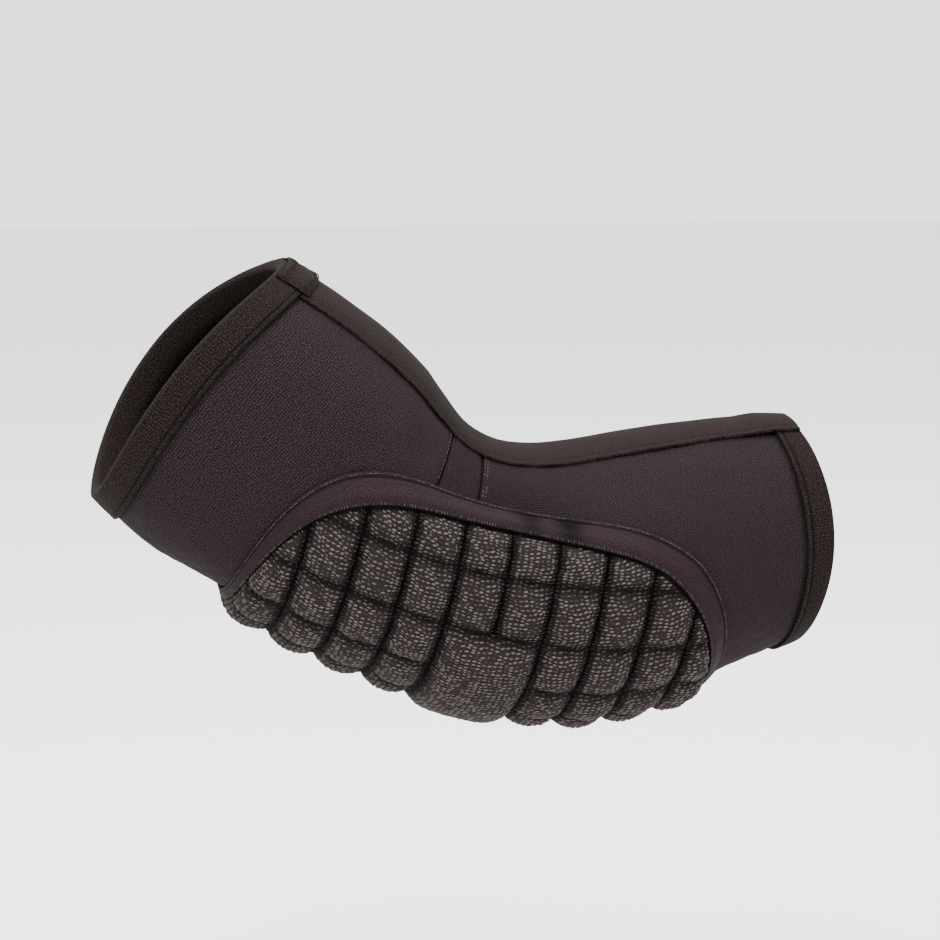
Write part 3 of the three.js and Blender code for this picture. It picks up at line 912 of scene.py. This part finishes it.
class Sewing:
    """The Geometry Nodes tree that sets loops of thread along lines."""

    def __init__(self) -> None:
        """Builds the tree."""
        self.tree = self.make_tree()

    @staticmethod
    def make_tree() -> bpy.types.NodeTree:
        """Resamples the lines by pitch and sets a loop at each place, turned to the cloth."""
        tree = bpy.data.node_groups.new("thread_loops", "GeometryNodeTree")
        sockets = {"Lines": "Geometry", "Pitch": "Float", "Loop Size": "Vector", "Uneven": "Float",
                   "Stray": "Float", "Twist": "Float", "Seed": "Int", "Material": "Material"}
        for name, kind in sockets.items():
            tree.interface.new_socket(name=name, in_out="INPUT", socket_type=f"NodeSocket{kind}")
        tree.interface.new_socket(name="Loops", in_out="OUTPUT", socket_type="NodeSocketGeometry")
        sketch = Sketch(tree)
        start, end = tree.nodes.new("NodeGroupInput"), tree.nodes.new("NodeGroupOutput")
        lines, pitch, size, uneven, stray, twist, seed, material = (Link(start, key) for key in sockets)
        bare = Link(sketch.add("GeometryNodeMeshToCurve", Mesh=lines), "Curve")
        spaced = sketch.add("GeometryNodeResampleCurve", {"mode": "LENGTH"}, Curve=bare, Length=pitch)
        away = sketch.scaled((1, 1, 1), stray)
        drift = sketch.add("FunctionNodeRandomValue", {"data_type": "FLOAT_VECTOR"},
                           in0=sketch.scaled(away, -1.0), in1=away, Seed=seed)
        moved = sketch.add("GeometryNodeSetPosition", Geometry=Link(spaced, "Curve"), Offset=Link(drift, 0))
        outward_way = sketch.add("GeometryNodeInputNamedAttribute", {"data_type": "FLOAT_VECTOR"},
                                 Name="outward")
        first = sketch.add("FunctionNodeAlignRotationToVector", {"axis": "X"},
                           Vector=Link(sketch.add("GeometryNodeInputTangent"), 0))
        second = sketch.add("FunctionNodeAlignRotationToVector", {"axis": "Z", "pivot_axis": "X"},
                            Rotation=Link(first, 0), Vector=Link(outward_way, "Attribute"))
        turn = sketch.random(sketch.maths("MULTIPLY", twist, -1.0), twist, seed)
        final = sketch.add("FunctionNodeRotateRotation", {"rotation_space": "LOCAL"},
                           Rotation=Link(second, 0), in1=Link(sketch.add("ShaderNodeCombineXYZ", Z=turn), 0))
        grow = sketch.random(*(sketch.maths(sign, 1.0, uneven) for sign in ("SUBTRACT", "ADD")), seed)
        loop = sketch.add("GeometryNodeMeshIcoSphere", Radius=0.5, Subdivisions=1)
        placed = sketch.add("GeometryNodeInstanceOnPoints", Points=Link(moved, 0), Rotation=Link(final, 0),
                            Instance=Link(loop, "Mesh"), Scale=sketch.scaled(size, grow))
        kept = sketch.add("GeometryNodeStoreNamedAttribute", {"data_type": "FLOAT", "domain": "INSTANCE"},
                          Geometry=Link(placed, 0), Name="shade", Value=sketch.random(0.0, 1.0, seed))
        real = sketch.add("GeometryNodeRealizeInstances", Geometry=Link(kept, 0))
        smooth = sketch.add("GeometryNodeSetShadeSmooth", Geometry=Link(real, 0))
        dressed = sketch.add("GeometryNodeSetMaterial", Geometry=Link(smooth, 0), Material=material)
        sketch.give(end, Loops=Link(dressed, 0))
        return tree

    def sew(self, name: str, lines: Lines, thread: Thread, material: bpy.types.Material) -> bpy.types.Object:
        """Makes one piece of thread loops along lines.

        Args:
            name: The piece's name.
            lines: Where the thread runs.
            thread: The loops' pitch, size and unevenness.
            material: The thread's material.

        Returns:
            The new piece, with the tree's result kept as its mesh.
        """
        source = lines.mesh(name + "_lines")
        modifier = source.modifiers.new("thread", "NODES")
        modifier.node_group = self.tree
        values = {
            "Pitch": thread.pitch * MM,
            "Loop Size": [value * MM for value in thread.size],
            "Uneven": thread.uneven,
            "Stray": thread.stray * MM,
            "Twist": thread.twist,
            "Seed": thread.seed,
            "Material": material,
        }
        for item in self.tree.interface.items_tree:
            if item.in_out == "INPUT" and item.name in values:
                modifier[item.identifier] = values[item.name]
        graph = bpy.context.evaluated_depsgraph_get()
        mesh = bpy.data.meshes.new_from_object(source.evaluated_get(graph))
        mesh.name = name
        piece = add_object(name, mesh)
        bpy.data.objects.remove(source)
        return piece


SEWING = Sewing()


@dataclass
class SleevePanel:
    """One tube of knitted cloth between two seams."""

    label: Label
    start: float
    end: float
    flat: tuple
    around: int = 300
    step: float = 1.5
    inner_coarser: int = 3
    puff: float = 0.0
    puff_reach: float = 6.0
    valley: float = 0.7
    valley_half: float = 2.4
    slack: tuple = (Swell(0.22, 26, 3), Swell(0.12, 9, 4))
    slack_reach: float = 8.0
    crease_lean: float = 0.1
    crease: tuple = (1.0, 0.8)
    crease_start: tuple = (104.0, 4.0)
    crease_end: tuple = (118.0, 45.0)
    hem_seams: tuple = (11.4, FORM.length - 10)
    # Painted shade along the sunk seams: how dark and how wide it is, and the darkest it gets.
    seam_shade: tuple = (0.7, 0.55)
    darkest: float = 0.85

    def build(self) -> None:
        """Makes the panel with seam valleys at its ends and a slight slack over its face."""
        count = int((self.end - self.start) / self.step)
        theta = np.linspace(0, 2 * math.pi, self.around, endpoint=False)[None, :]
        along = np.linspace(self.start, self.end, count + 1)[:, None]
        back = np.linspace(self.end, self.start, count // self.inner_coarser + 1)[:, None]
        place = np.concatenate([along, back])
        inner = np.full((len(back), self.around), -FORM.wall)
        points = FORM.point(place, theta, np.concatenate([self.height(along, theta), inner]))
        faces = grid_faces(len(place), self.around, True, True)
        # The second mask is painted shade in the sunk seams.
        masks = {"crease": self.pressed(place, theta), "dim": self.dim(place, theta)}
        piece = cloth_piece(self.label, points, faces, chart_of(theta * CHART_RADIUS, place), masks)

    def pressed(self, along: Array, theta: Array) -> Array:
        """Strength of the fine ribs where the bend presses the forearm panel together."""
        side = math.pi / 2 - np.abs(theta - math.pi)
        (start, rise), (end, fall) = self.crease_start, self.crease_end
        across = mound(side + self.crease_lean, *self.crease)
        return across * ease((along - start) / rise) * (1 - ease((along - end) / fall))

    def dim(self, along: Array, theta: Array) -> Array:
        """Painted shade in the sunk seams, up to its darkest."""
        seams = sum(mound(along - at, *self.seam_shade) for at in (*SEAMS, *self.hem_seams))
        return np.clip(seams + 0 * theta, 0, self.darkest)

    def height(self, along: Array, theta: Array) -> Array:
        """Height of the outer face over the sleeve's form."""
        to_seam = np.minimum(along - self.start, self.end - along)
        sunk = -self.valley * (1 - ease(to_seam / self.valley_half))
        points = FORM.point(along, theta, 0)
        loose = sum(swell.at(points) for swell in self.slack)
        return sunk + self.puff * ease(to_seam / self.puff_reach) + loose * ease(to_seam / self.slack_reach)


@dataclass
class Hem:
    """A doubled knitted hem folded over the sleeve's rim."""

    label: Label
    width: float
    flat: tuple
    at_forearm: bool = False
    around: int = 400
    face_steps: int = 34
    face_swell: float = 0.16
    fold_steps: int = 9
    edge_inset: float = 0.4
    edge_drop: float = 0.25
    inside_share: float = 0.6
    # Places of the grooves from the hem's inner edge, with the painted shade in them and its darkest.
    grooves: tuple = (0.0, 2.1)
    groove_shade: tuple = (0.75, 0.4)
    darkest: float = 0.8

    def profile(self) -> Array:
        """Closed section of the hem: depth from the rim and height over the panels."""
        outer, inner = FORM.gap + HEM_CLOTH, -FORM.wall - FORM.gap - HEM_CLOTH
        bow = HEM_CLOTH + FORM.gap
        steps = np.linspace(0, 1, self.face_steps)[1:]
        run = self.width - self.edge_inset - (self.width - bow) * steps
        turn = np.linspace(0, math.pi, self.fold_steps)[1:-1]
        return np.array([
            (self.width, FORM.gap),
            (self.width, outer - self.edge_drop),
            *zip(run, outer + self.face_swell * np.sin(math.pi * steps)),
            *zip(bow * (1 - np.sin(turn)), (outer + inner) / 2 + (outer - inner) / 2 * np.cos(turn)),
            (bow, inner),
            (self.width * self.inside_share, inner),
            (self.width, inner),
            (self.width, inner + HEM_CLOTH),
            (HEM_CLOTH, inner + HEM_CLOTH),
            (HEM_CLOTH, FORM.gap),
        ])

    def build(self) -> None:
        """Makes the hem."""
        profile = self.profile()
        depth, out = profile[:, :1], profile[:, 1:]
        theta = np.linspace(0, 2 * math.pi, self.around, endpoint=False)[None, :]
        along = FORM.length - depth if self.at_forearm else depth
        run = np.append(0, np.cumsum(np.hypot(*np.diff(profile, axis=0).T)))[:, None]
        # Painted shade in the two grooves along the hem's inner edge, on the outer face only.
        grooves = sum(mound(depth - self.width + at, *self.groove_shade) for at in self.grooves)
        dim = np.where(out > 0, np.clip(grooves, 0, self.darkest), 0) + 0 * theta
        faces = grid_faces(len(profile), self.around, True, True)
        chart = chart_of(theta * CHART_RADIUS, run)
        piece = cloth_piece(self.label, FORM.point(along, theta, out), faces, chart, {"dim": dim})


@dataclass
class FrontStrip:
    """The smooth knitted strip along the inner arm."""

    label: Label = Label("front_strip_knit", "front_strip", "strip_knit", STRIP)
    start: float = 11.8
    end: float = 234.7
    rows: int = 210
    columns: int = 56
    edge_cloth: float = 0.8
    edge_share: float = 0.75
    edge_reach: float = 6.0
    stitch_scale: float = 20.0
    stitch_at: float = 2.2
    stitch: tuple = (0.3, 0.9)
    slack: Swell = Swell(0.15, 18, 8)
    ramp: float = 11.0
    flat: tuple = (0.05, 0.223)
    area: float = 0.0089

    def lift(self, along: Array) -> Array:
        """Height of the strip's underside, raised where it runs over the forearm hem."""
        hem = FORM.length - FOREARM_HEM - FORM.gap
        rise = ease((along - hem + self.ramp) / self.ramp)
        return FORM.gap + rise * (FORM.gap + HEM_CLOTH)

    def build(self) -> None:
        """Makes the strip with thinner edges and a line sunk by the stitches along each."""
        along = np.linspace(self.start, self.end, self.rows)[:, None]
        share = np.linspace(-1, 1, self.columns)[None, :]
        theta = FORM.strip_angle(along) * share
        across = theta * FORM.half_width
        to_edge = 1 - np.abs(share)
        edge = FORM.strip_half_width * self.edge_share - np.abs(across)
        cloth = self.edge_cloth + (STRIP_CLOTH - self.edge_cloth) * ease(edge / self.edge_reach + 1)
        sunk = mound(to_edge * self.stitch_scale - self.stitch_at, *self.stitch)
        base = self.lift(along)
        low = FORM.point(along, theta, base)
        top = FORM.point(along, theta, base + cloth - sunk + self.slack.at(low) * to_edge)
        corners, faces = slab(top, low)
        piece = cloth_piece(self.label, corners, faces, np.tile(chart_of(across, along), (2, 1)))


@dataclass
class HemTab:
    """The overlap of the upper hem's ends at the inner arm."""

    label: Label = Label("hem_tab_knit", "hem_overlap_tab", "hem_knit", HEM)
    start: float = 1.3
    end: float = 13.5
    rows: int = 30
    columns: int = 60
    inset: float = 1.0
    base: float = 2 * FORM.gap + STRIP_CLOTH
    cloth: float = 1.2
    edge_share: float = 0.3
    side_slope: float = 9.0
    end_reach: float = 1.6
    lumps: Swell = Swell(0.09, 5, 12)
    flat: tuple = (0.048, 0.0122)

    def half_angle(self, along: Array) -> Array:
        """Half the angle that the tab takes up at lengths along the arm."""
        return FORM.strip_angle(along) - self.inset / FORM.half_width

    def build(self) -> None:
        """Makes the tab with soft edges."""
        along = np.linspace(self.start, self.end, self.rows)[:, None]
        share = np.linspace(-1, 1, self.columns)[None, :]
        theta = self.half_angle(along) * share
        low = FORM.point(along, theta, self.base)
        side = 1 - mound((1 - np.abs(share)) * self.side_slope, 1, 1)
        end = 1 - mound(np.minimum(along - self.start, self.end - along), 1, self.end_reach)
        cloth = self.cloth * (self.edge_share + (1 - self.edge_share) * side * end)
        top = FORM.point(along, theta, self.base + cloth + self.lumps.at(low))
        corners, faces = slab(top, low)
        chart = np.tile(chart_of(theta * FORM.half_width, along), (2, 1))
        piece = cloth_piece(self.label, corners, faces, chart)


@dataclass
class PadBorder:
    """The smooth band that holds the pad's rim down on the sleeve.

    Each dent is its place and width along the pad and its depth, as shares. A line's pair is its
    depth or its painted shade and the width over which it fades, in millimetres.
    """

    label: Label = Label("pad_border_cloth", "pad_border", "border_cloth", BORDER)
    width: float = 10.0
    widening: float = 0.2
    cloth: float = 1.2
    around: int = 620
    over: int = 30
    girth: float = 470.0
    flat: tuple = (0.52, 0.0125)
    profile: tuple = ((0, 1.08, 1), (0.32, 1, 1), (0.55, 0.56, 1), (0.78, 0.18, 1), (1, 0, 0.6))
    dents: tuple = ((0.075, 0.26, 0.34), (0.24, 0.28, 0.46))
    pucker: Swell = Swell(0.12, 9, 21)
    sewn_at: float = 0.84
    sewn: tuple = (0.5, 0.6)
    folded: tuple = (0.3, 0.5)
    # Painted shade in the seam's groove, beside the folded edge next to the pad and in the dents, and the
    # darkest it gets.
    groove_shade: tuple = (0.75, 0.45)
    edge_shade: float = 0.6
    edge_reach: float = 0.9
    dent_shade: float = 2.0
    darkest: float = 0.9
    seam_places: int = 420
    seam_steps: tuple = (0.004, 0.03)

    def width_at(self, turns: Array) -> Array:
        """Width of the band at turns round the oval."""
        return self.width * (1 + self.widening * np.cos(turns))

    def sections(self, across: Array) -> tuple[Array, Array]:
        """Share of the rim's height under the band and share of its cloth at places across it."""
        at, under, cloth = np.array(self.profile, float).T
        return curve(at, under, np.gradient(under, at), across), np.interp(across, at, cloth)

    def dent(self, length: Array, roll: Array) -> Array:
        """Depth of the dents where the band is pulled in on the near side."""
        depth = np.zeros_like(length)
        for at, spread, deep in self.dents:
            pull = mound(length - at * PAD.half_length, deep * PAD.rim_height, spread * PAD.cell)
            depth = np.maximum(depth, pull)
        return np.where(roll > PAD.wrap / 2, depth, 0)

    def heights(self, across: Array, length: Array, roll: Array) -> tuple:
        """Underside and cloth of the band at places across it."""
        under, cloth = self.sections(across)
        slack = np.maximum(4 * under * (1 - under), 0)
        low = FORM.gap + under * PAD.rim_height * PAD.rim(length) - self.dent(length, roll) * slack
        return np.maximum(low, FORM.gap), cloth * self.cloth

    def face(self, turns: Array, across: Array) -> Array:
        """Points of the band's outer face at turns round the oval and places across it."""
        length, roll = PAD.oval(turns, across * self.width_at(turns))
        low, cloth = self.heights(across, length, roll)
        return PAD.point(length, roll, low + cloth)

    def seam(self, across: float) -> Lines:
        """Line of stitches round the band at a place across it."""
        turns = np.append(PAD.even_turns(self.seam_places), 2 * math.pi)
        place = np.full(turns.shape, across)
        lines = Lines()
        lines.add(self.face(turns, place), surface_normal(self.face, turns, place, *self.seam_steps))
        return lines

    def build(self) -> None:
        """Makes the band."""
        turns = PAD.even_turns(self.around)[:, None]
        up = np.linspace(0, 1, self.over)
        across = np.concatenate([up, up[::-1]])
        is_top = np.repeat([1.0, 0.0], self.over)
        length, roll = PAD.oval(turns, across * self.width_at(turns))
        low, cloth = self.heights(np.broadcast_to(across, length.shape), length, roll)
        base = PAD.point(length, roll, low)
        from_edge, from_seam = across * self.width, (across - self.sewn_at) * self.width
        sunk = mound(from_seam, *self.sewn) + mound(from_edge, *self.folded)
        pucker = self.pucker.at(base) * np.sin(math.pi * across)
        points = PAD.point(length, roll, low + (cloth - sunk + pucker) * is_top)
        run = np.linspace(0, self.girth, self.around)[:, None]
        # Painted shade: in the seam's groove near the outer edge, beside the folded edge next to the pad and
        # in the dents.
        groove = mound(from_seam, *self.groove_shade)
        edge = self.edge_shade * (1 - ease(from_edge / self.edge_reach))
        pulled = self.dent(length, roll) / PAD.rim_height * self.dent_shade
        pulled = pulled * np.sqrt(np.sin(math.pi * across))
        dim = np.clip(np.maximum(groove, edge) + pulled, 0, self.darkest)
        faces = grid_faces(self.around, len(across), True, True)
        piece = cloth_piece(self.label, points, faces, chart_of(run, from_edge), {"dim": dim})


@dataclass
class QuiltedPad:
    """The padded knit over the elbow, sewn into cells and covered with courses of loops."""

    label: Label = Label("quilted_pad_knit", "quilted_pad", "pad_knit", PAD_BASE)
    rows: int = 236
    columns: int = 192
    fill: float = 0.8
    lumps: Swell = Swell(0.12, 6, 31)
    pole_merge: float = 0.01
    course: float = 1.12
    course_end: float = 0.4
    course_step: float = 0.5
    slope_step: float = 0.25
    waviness: float = 0.3
    wave_length: float = 9.0
    wave_shift: float = 0.9
    loop_lift: float = 0.02
    groove_half: float = 0.75
    # Painted shade of the grooves and the rim: where it begins, how far it reaches and the share it leaves
    # at its darkest.
    column_start: float = 0.4
    column_reach: float = 2.6
    row_least: float = 0.3
    row_reach: float = 3.0
    rim_least: float = 0.35
    rim_reach: float = 2.5

    def build(self) -> None:
        """Makes the pad's face, back and tucked rim."""
        turn = np.linspace(math.pi, 0, self.rows)[:, None]
        share = np.linspace(-1, 1, self.columns)[None, :]
        length, _ = PAD.oval(turn, PAD.rim_tuck)
        roll = PAD.oval_roll(length, PAD.rim_tuck) * share
        length = np.broadcast_to(length, roll.shape)
        rim = PAD.rim_edge_height * PAD.rim(length)
        out = np.where(np.abs(share) == 1, rim, pad_height(length, roll))
        top = PAD.point(length, roll, out + self.lumps.at(PAD.point(length, roll, 0)))
        corners, faces = slab(top, PAD.point(length, roll, FORM.gap))
        chart = np.tile(chart_of(roll * FORM.half_width, length), (2, 1))
        # Painted shade in the grooves and next to the rim, on both faces.
        masks = {"dim": np.tile(self.dimness(length, roll).ravel(), 2)}
        piece = cloth_piece(self.label, corners, faces, chart, masks, self.pole_merge)

    def courses(self, side: int) -> Lines:
        """Courses of loops along the pad on one side of its middle.

        Args:
            side: 1 for the near side and -1 for the far one.

        Returns:
            Wavy lines over the face, left out where the column grooves are deepest.
        """
        lines = Lines()
        for k in range(int(PAD.wrap * FORM.half_width / self.course)):
            turn = (k + 0.5) * self.course / FORM.half_width
            reach = float(PAD.oval_reach(np.array(turn), -PAD.rim_bare)) - self.course_end
            length = np.arange(-reach, reach, self.course_step) + PAD.shift
            wave = self.waviness * np.sin(length * 2 * math.pi / self.wave_length + k * self.wave_shift)
            roll = side * (turn + wave / FORM.half_width)
            step = self.slope_step
            points = pad_face(length, roll, self.loop_lift)
            normals = surface_normal(pad_face, length, roll, step, step / FORM.half_width)
            to_column, _ = groove_distances(length, roll)
            # Each corner carries 1 less the painted shade of the grooves and rim, which darkens its loops.
            lines.add(points, normals, to_column > self.groove_half, 1 - self.dimness(length, roll))
        return lines

    def dimness(self, length: Array, roll: Array) -> Array:
        """Painted shade of places of the face in the column and row grooves and next to the rim, from 0 to
        1.
        """
        to_column, to_row = groove_distances(length, roll)
        to_rim = (PAD.oval_roll(length, 0) - np.abs(roll)) * FORM.half_width
        column = ease((to_column - self.column_start) / self.column_reach)
        row = self.row_least + (1 - self.row_least) * ease(to_row / self.row_reach)
        rim = self.rim_least + (1 - self.rim_least) * ease(to_rim / self.rim_reach)
        return 1 - column * row * rim


ROW = Thread(1.7, (1.62, 0.26, 0.24), uneven=0.1, stray=0.02, twist=0.05, seed=5)
TACK = Thread(1.1, (1.2, 0.42, 0.36), uneven=0.3, stray=0.12, twist=0.3, seed=6)
OVERLOCK = Thread(0.95, (0.24, 1.0, 0.3), uneven=0.3, stray=0.05, twist=0.2, seed=7)
PAD_LOOP = Thread(1.85, (1.62, 0.74, 0.5), uneven=0.24, stray=0.15, twist=0.3, seed=11)


@dataclass
class SleeveStitching:
    """Rows of stitches on the hems, the insert, the strip, the tab and the border."""

    ring_corners: int = 500
    border_clear: float = 0.4
    hem_at: tuple = (10.2, 10.9, FORM.length - 8.7, FORM.length - 9.4)
    hem_out: float = 1.36
    hem_clear: float = 0.6
    insert_at: tuple = (84.9, 105.6, 107.0)
    insert_out: float = 0.05
    strip_corners: int = 420
    strip_end: float = 0.8
    strip_edge: float = 1.9
    strip_sink: float = 0.28
    tack_corners: int = 90
    tack_share: float = 0.96
    tack_rows: tuple = ((1.0, 3.2), (9.2, 11.3))
    tack_out: float = 0.05
    border_at: float = 0.93
    overlock_at: float = 0.06

    def rings(self, places: tuple, out: float, clear: float, border: PadBorder) -> Lines:
        """Lines round the sleeve, open at the strip and where the pad's border covers them.

        Args:
            places: Lengths from the upper rim.
            out: Height over the sleeve.
            clear: Space left beside the strip.
            border: The pad's border.

        Returns:
            The lines.
        """
        lines = Lines()
        for along in places:
            half = float(FORM.strip_angle(np.array(along))) + clear / FORM.half_width
            theta = np.linspace(half, 2 * math.pi - half, self.ring_corners)
            place = np.full(theta.shape, along)
            keep = ~under_pad(place, theta, float(border.width_at(0)) + self.border_clear)
            lines.add(FORM.point(place, theta, out), sleeve_normal(place, theta), keep)
        return lines

    def strip_rows(self, strip: FrontStrip) -> Lines:
        """Rows along both edges of the strip."""
        along = np.linspace(strip.start + self.strip_end, strip.end - self.strip_end, self.strip_corners)
        lines = Lines()
        for side in (-1, 1):
            theta = side * (FORM.strip_angle(along) - self.strip_edge / FORM.half_width)
            out = strip.lift(along) + STRIP_CLOTH - self.strip_sink
            lines.add(FORM.point(along, theta, out), sleeve_normal(along, theta))
        return lines

    def tab_tacks(self, tab: HemTab) -> Lines:
        """Zigzag bar tacks along the tab's edges."""
        lines = Lines()
        share = np.linspace(-self.tack_share, self.tack_share, self.tack_corners)
        odd = np.arange(self.tack_corners) % 2 == 1
        for near, far in self.tack_rows:
            zigzag = tab.start + np.where(odd, far, near)
            theta = tab.half_angle(zigzag) * share
            top = FORM.point(zigzag, theta, tab.base + tab.cloth + self.tack_out)
            lines.add(top, sleeve_normal(zigzag, theta))
        return lines

    def build(self, strip: FrontStrip, tab: HemTab, border: PadBorder) -> None:
        """Sews every row."""
        thread, dark = STITCH.build(), DARK_STITCH.build()
        hems = self.rings(self.hem_at, self.hem_out, self.hem_clear, border)
        insert = self.rings(self.insert_at, self.insert_out, 0.0, border)
        for name, lines, loops, material, slot in (
            ("hem_stitches", hems, ROW, dark, "hem_knit"),
            ("insert_stitches", insert, ROW, thread, "insert_rib"),
            ("strip_stitches", self.strip_rows(strip), ROW, dark, "strip_knit"),
            ("tab_tacks", self.tab_tacks(tab), TACK, dark, "hem_knit"),
            ("border_stitches", border.seam(self.border_at), ROW, thread, "border_cloth"),
            ("border_overlock", border.seam(self.overlock_at), OVERLOCK, thread, "border_cloth"),
        ):
            hand_in(SEWING.sew(name, lines, loops, material), slot)


@dataclass
class ElbowBrace:
    """The whole brace: three panels, two hems, the strip, the tab, the border and the pad."""

    panel_flats: tuple = ((0.31, 0.0846), (0.285, 0.0182), (0.265, 0.13))
    hem_flats: tuple = ((0.3, 0.027), (0.24, 0.024))
    insert_step: float = 0.9
    insert_puff: float = 0.3

    def build(self) -> None:
        """Makes every piece."""
        upper = Label("upper_panel_knit", "sleeve_upper_panel", "sleeve_knit", SLEEVE)
        insert = Label("insert_knit", "elbow_insert_panel", "insert_rib", INSERT)
        forearm = Label("forearm_panel_knit", "sleeve_forearm_panel", "sleeve_knit", SLEEVE)
        upper_hem = Label("upper_hem_knit", "upper_hem_band", "hem_knit", HEM)
        forearm_hem = Label("forearm_hem_knit", "forearm_hem_band", "hem_knit", HEM)
        inset, half_gap = HEM_CLOTH + FORM.gap, FORM.gap / 2
        first, second = SEAMS
        strip, tab, border, pad = FrontStrip(), HemTab(), PadBorder(), QuiltedPad()
        for piece in (
            SleevePanel(upper, inset, first - half_gap, self.panel_flats[0]),
            SleevePanel(insert, first + half_gap, second - half_gap, self.panel_flats[1],
                        step=self.insert_step, puff=self.insert_puff),
            SleevePanel(forearm, second + half_gap, FORM.length - inset, self.panel_flats[2]),
            Hem(upper_hem, FORM.upper_hem, self.hem_flats[0]),
            Hem(forearm_hem, FOREARM_HEM, self.hem_flats[1], at_forearm=True),
            strip, tab, border, pad,
        ):
            piece.build()
        SleeveStitching().build(strip, tab, border)
        yarn = PAD_YARN.build()
        for side, name in ((1, "pad_loops_near"), (-1, "pad_loops_far")):
            hand_in(SEWING.sew(name, pad.courses(side), PAD_LOOP, yarn), "pad_knit")


@dataclass(frozen=True)
class Lamp:
    """A soft square lamp that points at the brace, with its size in metres and power in watts."""

    name: str
    place: tuple
    size: float
    power: float

    def build(self) -> None:
        """Adds the lamp."""
        light = bpy.data.lights.new(self.name, "AREA")
        light.energy, light.size = self.power, self.size
        lamp = add_object(self.name, light)
        lamp.location = self.place
        lamp.rotation_euler = (-Vector(self.place)).to_track_quat("-Z", "Y").to_euler()


@dataclass(frozen=True)
class Studio:
    """Floor, lights and camera."""

    aim: tuple = (0.0055, 0.0, 0.027)
    azimuth: float = math.radians(11.0)
    elevation: float = math.radians(8.0)
    distance: float = 0.95
    lens: float = 105.5
    sensor: float = 36.0
    clip: tuple = (0.01, 50.0)
    floor_drop: float = 0.2
    floor_size: float = 12.0
    floor_colour: tuple = (0.86, 0.86, 0.86, 1)
    floor_roughness: float = 0.9
    world_strength: float = 2.3
    lamps: tuple = (
        Lamp("key", (-0.5, -0.9, 1.4), 0.7, 42),
        Lamp("fill", (1.2, -0.8, 0.6), 1.0, 4),
        Lamp("top", (0.1, 0.2, 1.5), 0.8, 40),
    )

    def build(self) -> None:
        """Sets up the floor, the soft lights, the world and the camera."""
        self.floor()
        self.world()
        for lamp in self.lamps:
            lamp.build()
        self.camera()

    def floor(self) -> None:
        """Plain pale floor under the brace."""
        bpy.ops.mesh.primitive_plane_add(size=self.floor_size, location=(0, 0, -self.floor_drop))
        floor = bpy.context.object
        floor.name = "floor"
        material = bpy.data.materials.new("pale_floor")
        material.use_nodes = True
        shader = material.node_tree.nodes["Principled BSDF"]
        shader.inputs["Base Color"].default_value = self.floor_colour
        shader.inputs["Roughness"].default_value = self.floor_roughness
        floor.data.materials.append(material)

    def world(self) -> None:
        """Pale world all round."""
        world = bpy.data.worlds.new("studio")
        bpy.context.scene.world = world
        world.use_nodes = True
        background = world.node_tree.nodes["Background"]
        background.inputs["Color"].default_value = (1, 1, 1, 1)
        background.inputs["Strength"].default_value = self.world_strength

    def camera(self) -> None:
        """Camera at the photograph's angle."""
        level = math.cos(self.elevation)
        ahead = Vector((math.sin(self.azimuth) * level, math.cos(self.azimuth) * level,
                        -math.sin(self.elevation)))
        lens = bpy.data.cameras.new("photo_camera")
        lens.lens, lens.sensor_width = self.lens, self.sensor
        lens.clip_start, lens.clip_end = self.clip
        camera = add_object("photo_camera", lens)
        camera.location = Vector(self.aim) - ahead * self.distance
        camera.rotation_euler = ahead.to_track_quat("-Z", "Y").to_euler()
        bpy.context.scene.camera = camera


def main() -> None:
    """Builds the brace and the studio."""
    logging.basicConfig(level=logging.INFO, format="%(name)s: %(message)s")
    ElbowBrace().build()
    Studio().build()


if __name__ == "__main__":
    main()
